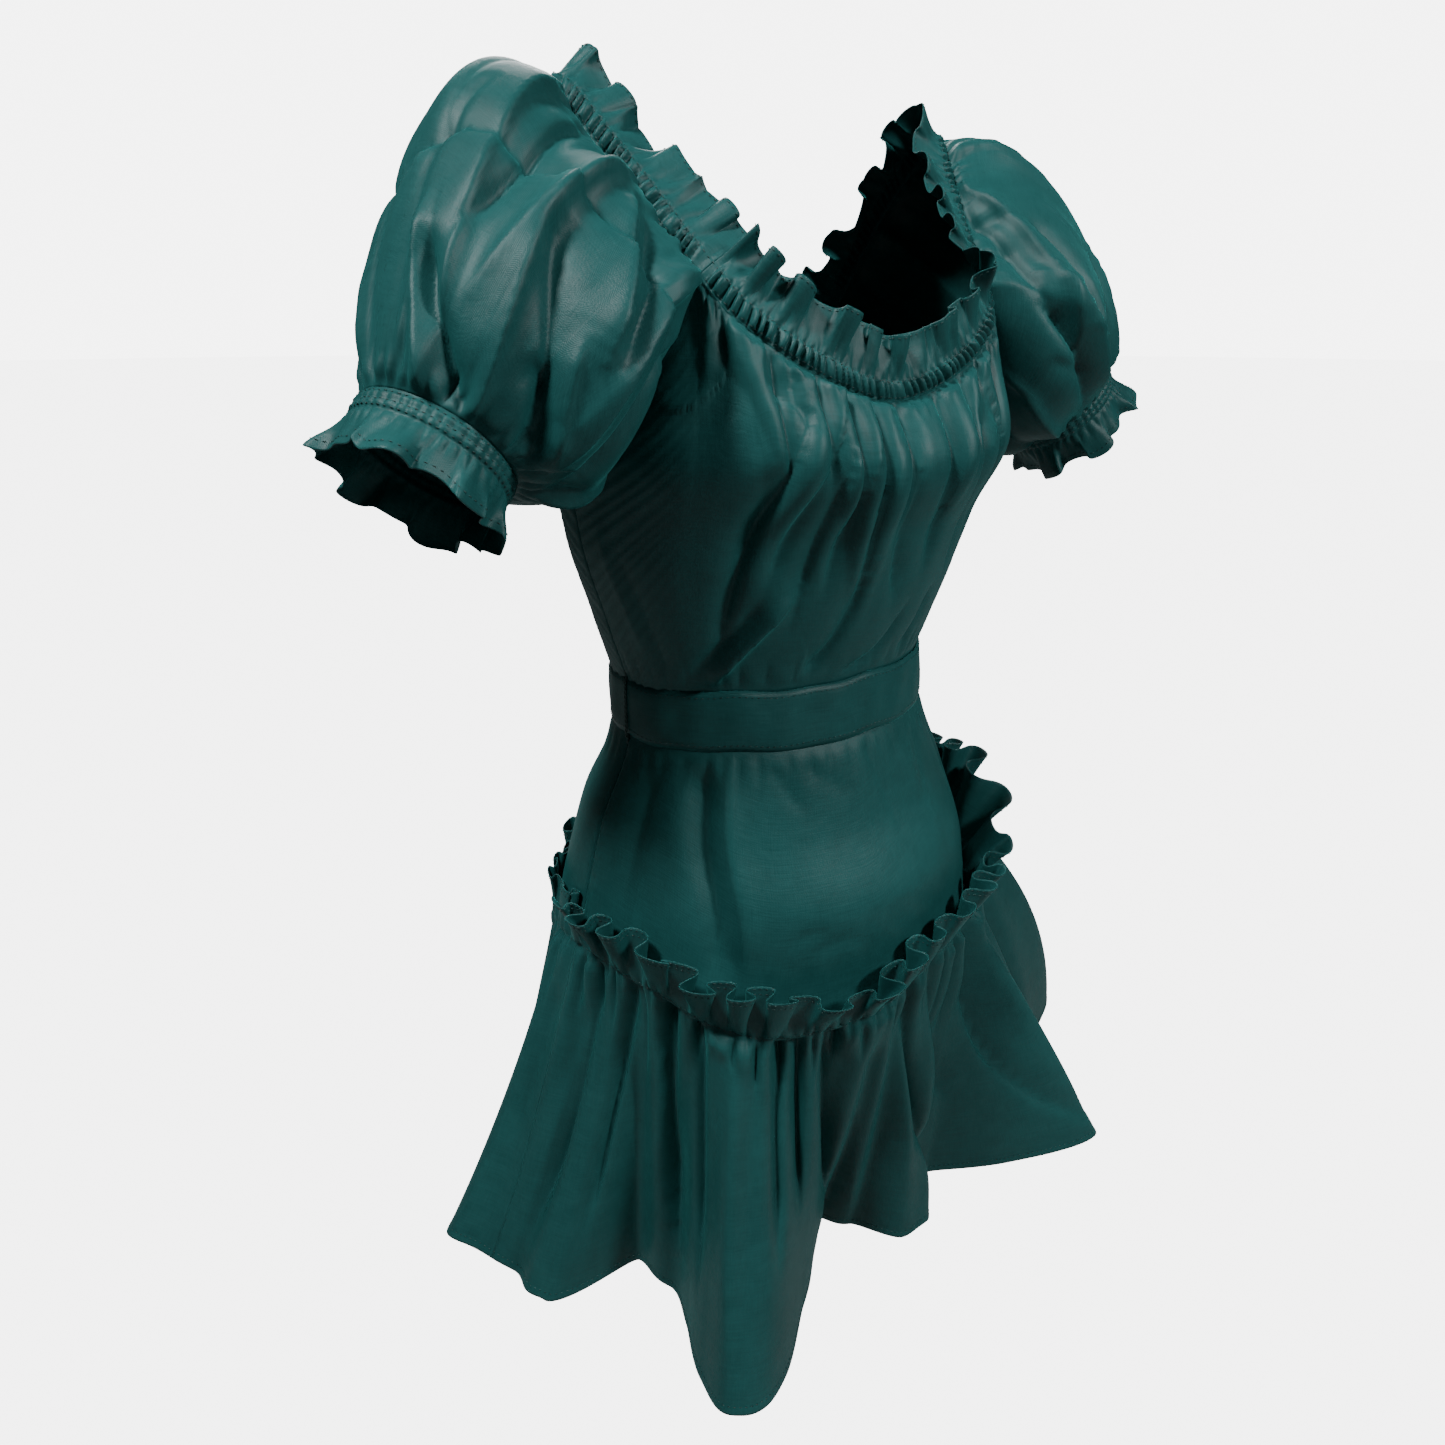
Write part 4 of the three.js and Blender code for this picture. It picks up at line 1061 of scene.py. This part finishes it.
def group(name, inputs, outputs):
    """A shader or geometry node group with its named sockets."""
    kind = "GeometryNodeTree" if "Geometry" in outputs else "ShaderNodeTree"
    tree = bpy.data.node_groups.new(name, kind)
    for socket, (socket_type, value) in inputs.items():
        made = tree.interface.new_socket(socket, in_out="INPUT", socket_type=socket_type)
        if value is not None:
            made.default_value = value
    for socket, socket_type in outputs.items():
        tree.interface.new_socket(socket, in_out="OUTPUT", socket_type=socket_type)
    return tree, tree.nodes.new("NodeGroupInput").outputs, tree.nodes.new("NodeGroupOutput").inputs


def set_or_link(tree, socket, value):
    if isinstance(value, bpy.types.NodeSocket):
        tree.links.new(value, socket)
    else:
        socket.default_value = value


def fill(tree, made, values):
    """Values or links for the inputs of a node."""
    for key, value in values.items():
        set_or_link(tree, made.inputs[key], value)
    return made


def node(tree, kind, values=None, **settings):
    """A node with its settings, and with values or links for its inputs."""
    made = tree.nodes.new(kind)
    for setting, value in settings.items():
        setattr(made, setting, value)
    return fill(tree, made, values or {})


def math_node(tree, operation, first, second=0.0):
    return node(tree, "ShaderNodeMath", {0: first, 1: second}, operation=operation).outputs[0]


def weighted(tree, first, first_share, second, second_share):
    """The sum of two values, each by its own share."""
    first_part = math_node(tree, "MULTIPLY", first, first_share)
    return math_node(tree, "ADD", first_part, math_node(tree, "MULTIPLY", second, second_share))


def map_range(tree, value, *limits):
    """The value, taken from one range to another: its two ends, then the new ones if not 0 to 1."""
    return node(tree, "ShaderNodeMapRange", dict(enumerate((value, *limits)))).outputs[0]


def blend(tree, first, second, factor, blend_type="MIX"):
    made = node(tree, "ShaderNodeMix", data_type="RGBA", blend_type=blend_type)
    for socket, value in zip([made.inputs[0], made.inputs[6], made.inputs[7]], [factor, first, second]):
        set_or_link(tree, socket, value)
    return made.outputs[2]


def noise(tree, vector, scale, detail=2.0, roughness=0.5):
    values = {"Vector": vector, "Scale": scale, "Detail": detail, "Roughness": roughness}
    return node(tree, "ShaderNodeTexNoise", values).outputs[0]


def stretched(tree, vector, scale):
    return node(tree, "ShaderNodeMapping", {"Vector": vector, "Scale": scale}).outputs[0]


def plain_weave():
    """Threads over and under one another, with slubs: their height, and how they shade."""
    tree, inputs, outputs = group(
        "plain weave",
        {"Grain": ("NodeSocketVector", None), "Threads per metre": ("NodeSocketFloat", THREADS_PER_METRE)},
        {"Height": "NodeSocketFloat", "Slubs": "NodeSocketFloat"},
    )
    grain, pace = inputs[0], inputs[1]
    parts = node(tree, "ShaderNodeSeparateXYZ", {0: grain}).outputs
    turns = math_node(tree, "MULTIPLY", pace, math.pi)
    warp = math_node(tree, "SINE", math_node(tree, "MULTIPLY", parts[0], turns))
    weft = math_node(tree, "SINE", math_node(tree, "MULTIPLY", parts[1], turns))
    over = math_node(tree, "MULTIPLY", warp, weft)
    height = node(tree, "ShaderNodeMath", {0: over, 1: 0.5, 2: 0.5}, operation="MULTIPLY_ADD").outputs[0]
    weft_slubs = noise(tree, stretched(tree, grain, (45.0, 900.0, 1.0)), 1.0, 3.0, 0.6)
    warp_slubs = noise(tree, stretched(tree, grain, (1100.0, 60.0, 1.0)), 1.0, 2.0, 0.5)
    tree.links.new(height, outputs[0])
    tree.links.new(weighted(tree, weft_slubs, 0.65, warp_slubs, 0.35), outputs[1])
    return tree


def dye():
    """Slight cloudiness of the colour, at two sizes."""
    tree, inputs, outputs = group(
        "dye", {"Place": ("NodeSocketVector", None)}, {"Cloud": "NodeSocketFloat"},
    )
    wide = noise(tree, inputs[0], 9.0, 3.0)
    small = noise(tree, inputs[0], 70.0, 2.0)
    tree.links.new(weighted(tree, wide, 0.7, small, 0.3), outputs[0])
    return tree


def small_wrinkles():
    """The faint crumples that crisp cloth keeps, as a height."""
    tree, inputs, outputs = group(
        "small wrinkles", {"Place": ("NodeSocketVector", None)}, {"Height": "NodeSocketFloat"},
    )
    bent = node(tree, "ShaderNodeTexVoronoi", {"Vector": inputs[0], "Scale": 34.0, "Smoothness": 0.6},
                feature="SMOOTH_F1").outputs[0]
    fine = noise(tree, inputs[0], 90.0, 2.0, 0.45)
    tree.links.new(weighted(tree, bent, 0.8, fine, 0.5), outputs[0])
    return tree


weave_group = plain_weave()
dye_group = dye()
wrinkle_group = small_wrinkles()


def use(tree, shared, values):
    return node(tree, "ShaderNodeGroup", values, node_tree=shared).outputs


def new_material(name):
    material = bpy.data.materials.new(name)
    material.use_nodes = True
    tree = material.node_tree
    return material, tree, tree.nodes["Principled BSDF"]


def taffeta(name, dark, light):
    """Crisp dark taffeta with a broad, soft shine."""
    material, tree, surface = new_material(name)
    places = node(tree, "ShaderNodeTexCoord").outputs
    weave = use(tree, weave_group, {"Grain": places["UV"], "Threads per metre": THREADS_PER_METRE})
    cloud = use(tree, dye_group, {"Place": places["Object"]})[0]
    wrinkles = use(tree, wrinkle_group, {"Place": places["Object"]})[0]
    tone = map_range(tree, weighted(tree, cloud, 0.6, weave["Slubs"], 0.5), 0.32, 0.78)
    threads = node(tree, "ShaderNodeBump", {"Strength": 0.5, "Distance": 0.00012, "Height": weave["Height"]})
    slubs = node(tree, "ShaderNodeBump", {
        "Strength": 0.35, "Distance": 0.0005, "Height": weave["Slubs"], "Normal": threads.outputs[0],
    })
    crumple = node(tree, "ShaderNodeBump", {
        "Strength": 0.3, "Distance": 0.0018, "Height": wrinkles, "Normal": slubs.outputs[0],
    })
    fill(tree, surface, {
        "Base Color": blend(tree, dark, light, tone),
        "Roughness": map_range(tree, weave["Slubs"], 0.3, 0.7, 0.4, 0.52),
        "Specular IOR Level": 0.2,
        "Sheen Weight": 0.12,
        "Sheen Roughness": 0.35,
        "Sheen Tint": (0.1, 0.75, 0.7, 1.0),
        "Normal": crumple.outputs[0],
    })
    return material


def sewing_thread():
    material, tree, surface = new_material("sewing thread")
    places = node(tree, "ShaderNodeTexCoord").outputs
    twist = noise(tree, stretched(tree, places["Object"], (900.0, 900.0, 2600.0)), 1.0, 2.0)
    shade = map_range(tree, twist, 0.3, 0.7)
    bump = node(tree, "ShaderNodeBump", {"Strength": 0.6, "Distance": 0.0003, "Height": twist})
    fill(tree, surface, {
        "Base Color": blend(tree, (0.006, 0.03, 0.028, 1), (0.02, 0.075, 0.07, 1), shade),
        "Roughness": 0.55,
        "Normal": bump.outputs[0],
    })
    return material


def stitches():
    """Lays a stitch at every step along the rows that the panels have kept."""
    tree, inputs, outputs = group(
        "rows of stitches",
        {
            "Geometry": ("NodeSocketGeometry", None),
            "Spacing": ("NodeSocketFloat", STITCH_SPACING * MM),
            "Length": ("NodeSocketFloat", STITCH_LENGTH * MM),
            "Thickness": ("NodeSocketFloat", STITCH_RADIUS * MM),
            "Thread": ("NodeSocketMaterial", None),
        },
        {"Geometry": "NodeSocketGeometry"},
    )
    rows = node(tree, "GeometryNodeMeshToCurve", {"Mesh": inputs["Geometry"]}).outputs[0]
    spaced = {"Curve": rows, "Length": inputs["Spacing"]}
    steps = node(tree, "GeometryNodeResampleCurve", spaced, mode="LENGTH")
    ball = node(tree, "GeometryNodeMeshIcoSphere", {"Radius": 0.5, "Subdivisions": 1}).outputs[0]
    along = node(tree, "GeometryNodeInputTangent").outputs[0]
    turned = node(tree, "FunctionNodeAlignRotationToVector", {"Vector": along}, axis="X").outputs[0]
    wide = math_node(tree, "MULTIPLY", inputs["Thickness"], 2.0)
    size = node(tree, "ShaderNodeCombineXYZ", {0: inputs["Length"], 1: wide, 2: wide}).outputs[0]
    laid = node(tree, "GeometryNodeInstanceOnPoints", {
        "Points": steps.outputs[0], "Instance": ball, "Rotation": turned, "Scale": size,
    }).outputs[0]
    real = node(tree, "GeometryNodeRealizeInstances", {"Geometry": laid}).outputs[0]
    finished = node(tree, "GeometryNodeSetMaterial", {"Geometry": real, "Material": inputs["Thread"]})
    tree.links.new(finished.outputs[0], outputs[0])

    points, edges = [], []
    for line, closed in stitch_lines:
        first = len(points)
        points += in_frame(line).tolist()
        edges += [(first + i, first + i + 1) for i in range(len(line) - 1)]
        if closed:
            edges.append((first + len(line) - 1, first))
    mesh = bpy.data.meshes.new("stitch rows")
    mesh.from_pydata(points, edges, [])
    guide = add_object("stitch_rows", mesh)
    modifier = guide.modifiers.new("stitches", "NODES")
    modifier.node_group = tree
    names = {item.name: item.identifier for item in tree.interface.items_tree if item.in_out == "INPUT"}
    modifier[names["Thread"]] = thread
    result = bpy.data.meshes.new_from_object(guide.evaluated_get(bpy.context.evaluated_depsgraph_get()))
    result.name = "stitches"
    piece = add_object("stitches", result)
    bpy.data.objects.remove(guide)
    result.shade_smooth()
    return piece


def belt_loop(name, side):
    """Two twisted strands of thread that hold the belt at a side seam."""
    edge = BELT_WIDTH / 2
    height = np.linspace(-edge - 6, edge + 6, 70)
    clear = 1 - ease(np.abs(height), edge + 0.5, edge + 3)
    on_cloth = torso_point(side * 90.0, height, 0.7)
    low = torso_point(side * 90.0, -edge, BELT_OUT + 1.0)
    high = torso_point(side * 90.0, edge, BELT_OUT + 1.0)
    over_belt = mix(low, high, np.clip(height / BELT_WIDTH + 0.5, -0.02, 1.02)[:, None])
    path = mix(on_cloth, over_belt, clear[:, None])
    vertices, faces = [], []
    for strand in (0, math.pi):
        twist = height * 0.9 + strand
        middle = path + vectors(0.45 * np.cos(twist) * side, 0.55 * np.sin(twist), 0)
        along = unit(np.gradient(middle, axis=0))
        across = unit(np.cross(along, (side, 0.0, 0)))
        rim = np.linspace(0, 2 * math.pi, STRAND_SIDES, endpoint=False)
        over = np.cross(along, across)
        spoke = np.cos(rim)[:, None] * across[:, None] + np.sin(rim)[:, None] * over[:, None]
        first = len(vertices)
        vertices += in_frame(middle[:, None] + STRAND_RADIUS * spoke).reshape(-1, 3).tolist()
        for ring in range(first, len(vertices) - STRAND_SIDES, STRAND_SIDES):
            for j in range(STRAND_SIDES):
                a, b = ring + j, ring + (j + 1) % STRAND_SIDES
                faces.append((a, b, b + STRAND_SIDES, a + STRAND_SIDES))
        faces.append(tuple(range(first + STRAND_SIDES - 1, first - 1, -1)))
        faces.append(tuple(range(len(vertices) - STRAND_SIDES, len(vertices))))
    mesh = bpy.data.meshes.new(name)
    mesh.from_pydata(vertices, [], faces)
    mesh.shade_smooth()
    return add_object(name, mesh)


# The dress.
cloth_material = taffeta("taffeta", (0.005, 0.044, 0.043, 1), (0.014, 0.088, 0.086, 1))
thread = sewing_thread()

# Each panel: its name, its solid, the function that makes it with what that asks for, what it was
# cut to in metres, its area if it isn't the full rectangle, how it is held, and by what.
PANELS = (
    ("bodice_front_panel", "bodice_front", bodice, (False, 280, 110, FRONT_FOLDS, FRONT_CREASES, 3),
     (0.52, 0.29), 0.125, "gathered", ["belt_band"]),
    ("bodice_back_panel", "bodice_back", bodice, (True, 190, 84, BACK_FOLDS, BACK_CREASES, 13),
     (0.5, 0.27), 0.108, "gathered", ["belt_band"]),
    ("sleeve_left_puff", "sleeve_left", sleeve, (False, 230, 92, FAR_SLEEVE_CREASES, 23),
     (0.52, 0.27), 0.118, "gathered", ["neck_band_left"]),
    ("sleeve_right_puff", "sleeve_right", sleeve, (True, 280, 104, NEAR_SLEEVE_CREASES, 33),
     (0.52, 0.27), 0.118, "gathered", ["neck_band_right"]),
    ("neck_band_front", "neck_frill_front", neck_band, (-3, 3, 380),
     (0.42, 0.038), None, "gathered", ["bodice_front_panel"]),
    ("neck_band_left", "neck_frill_left", neck_band, (3, 7, 290),
     (0.36, 0.038), None, "gathered", ["sleeve_left_puff"]),
    ("neck_band_back", "neck_frill_back", neck_band, (7, 13, 290),
     (0.38, 0.038), None, "gathered", ["bodice_back_panel"]),
    ("neck_band_right", "neck_frill_right", neck_band, (13, 17, 290),
     (0.36, 0.038), None, "gathered", ["sleeve_right_puff"]),
    ("cuff_band_left", "cuff_frill_left", cuff_band, (False, 340, 1.0),
     (0.4, 0.035), None, "gathered", ["sleeve_left_puff"]),
    ("cuff_band_right", "cuff_frill_right", cuff_band, (True, 340, 2.6),
     (0.4, 0.035), None, "gathered", ["sleeve_right_puff"]),
    ("belt_band", "belt", belt, (), (0.72, 0.042), None, "hung", ["skirt_front_panel"]),
    ("skirt_front_panel", "skirt_front", skirt, (0, 160, 50, 53),
     (0.46, 0.21), None, "hung", ["belt_band"]),
    ("skirt_back_panel", "skirt_back", skirt, (180, 110, 36, 63),
     (0.46, 0.19), None, "hung", ["belt_band"]),
    ("flounce_front_strip", "flounce_front", flounce, (0, 440, 76, FLOUNCE_CREASES, 73),
     (1.0, 0.31), None, "gathered", ["skirt_front_panel"]),
    ("flounce_back_strip", "flounce_back", flounce, (180, 280, 54, BACK_FLOUNCE_CREASES, 83),
     (1.0, 0.31), None, "gathered", ["skirt_back_panel"]),
)
pieces = {name: (make(name, *details), solid) for name, solid, make, details, *_ in PANELS}
for piece, solid in pieces.values():
    piece.data.materials.append(cloth_material)
    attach(piece, "root")
    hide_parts(solid)

sewing = stitches()
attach(sewing, "root")
for side, name in ((1, "belt_loop_left"), (-1, "belt_loop_right")):
    loop = belt_loop(name + "_thread", side)
    loop.data.materials.append(thread)
    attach(loop, "root")
    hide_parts(name)

# The studio: a pale floor, well below the hem, and soft lights, in metres.
FLOOR_RADIUS = 30
FLOOR_HEIGHT = -1.02
FLOOR_SIDES = 64
SEEN_WHITE = 6.0
floor_mesh = bpy.data.meshes.new("floor")
turns = np.linspace(0, 2 * math.pi, FLOOR_SIDES, endpoint=False)
rim = vectors(FLOOR_RADIUS * np.cos(turns), FLOOR_RADIUS * np.sin(turns), FLOOR_HEIGHT)
floor_mesh.from_pydata(rim.tolist(), [], [tuple(range(FLOOR_SIDES))])
floor = add_object("floor", floor_mesh)
floor_material, floor_tree, floor_surface = new_material("pale floor")
fill(floor_tree, floor_surface, {"Base Color": (0.3, 0.3, 0.3, 1), "Roughness": 0.8})
glow = node(floor_tree, "ShaderNodeEmission", {"Color": (1, 1, 1, 1), "Strength": SEEN_WHITE}).outputs[0]
floor_seen = node(floor_tree, "ShaderNodeLightPath").outputs["Is Camera Ray"]
lit = math_node(floor_tree, "MULTIPLY", floor_seen, 0.9)
floor_look = {0: lit, 1: floor_surface.outputs[0], 2: glow}
floor_mix = node(floor_tree, "ShaderNodeMixShader", floor_look).outputs[0]
floor_tree.links.new(floor_mix, floor_tree.nodes["Material Output"].inputs["Surface"])
floor.data.materials.append(floor_material)


def soft_light(name, place, aim, size, power):
    light = bpy.data.lights.new(name, "AREA")
    light.shape = "DISK"
    light.size = size
    light.energy = power
    lamp = add_object(name, light)
    direction = Vector(aim) - Vector(place)
    lamp.rotation_euler = direction.to_track_quat("-Z", "Y").to_euler()
    lamp.location = place


soft_light("key light", (-1.15, -0.2, 1.35), (0, 0, -0.3), 0.3, 50)
soft_light("fill light", (0.7, -1.7, 0.9), (0, 0, -0.3), 0.35, 38)
soft_light("back light", (0.9, 1.7, 1.2), (0, 0, -0.4), 1.0, 26)

# The studio's white walls are bright to look at and light the cloth only faintly.
world = bpy.data.worlds.new("studio")
world.use_nodes = True
studio = world.node_tree
seen = node(studio, "ShaderNodeLightPath").outputs["Is Camera Ray"]
brightness = map_range(studio, seen, 0.0, 1.0, 0.06, SEEN_WHITE)
fill(studio, studio.nodes["Background"], {"Color": (1, 1, 1, 1), "Strength": brightness})
bpy.context.scene.world = world

# The camera stands before the wearer's right side and looks down at the dress.
SENSOR_WIDTH = 36
PICTURE_WIDTH = 1445
FOCAL_PIXELS = 1024
camera_data = bpy.data.cameras.new("camera")
camera_data.sensor_width = SENSOR_WIDTH
camera_data.lens = SENSOR_WIDTH * FOCAL_PIXELS / PICTURE_WIDTH
camera = add_object("camera", camera_data)
forward = Vector((0.569, 0.736, -0.366)).normalized()
right = Vector((0.791, -0.611, 0.0)).normalized()
up = right.cross(forward)
turned = Matrix((right, up, -forward)).transposed().to_4x4()
camera.matrix_world = Matrix.Translation((-0.483, -0.566, -0.122)) @ turned
bpy.context.scene.camera = camera
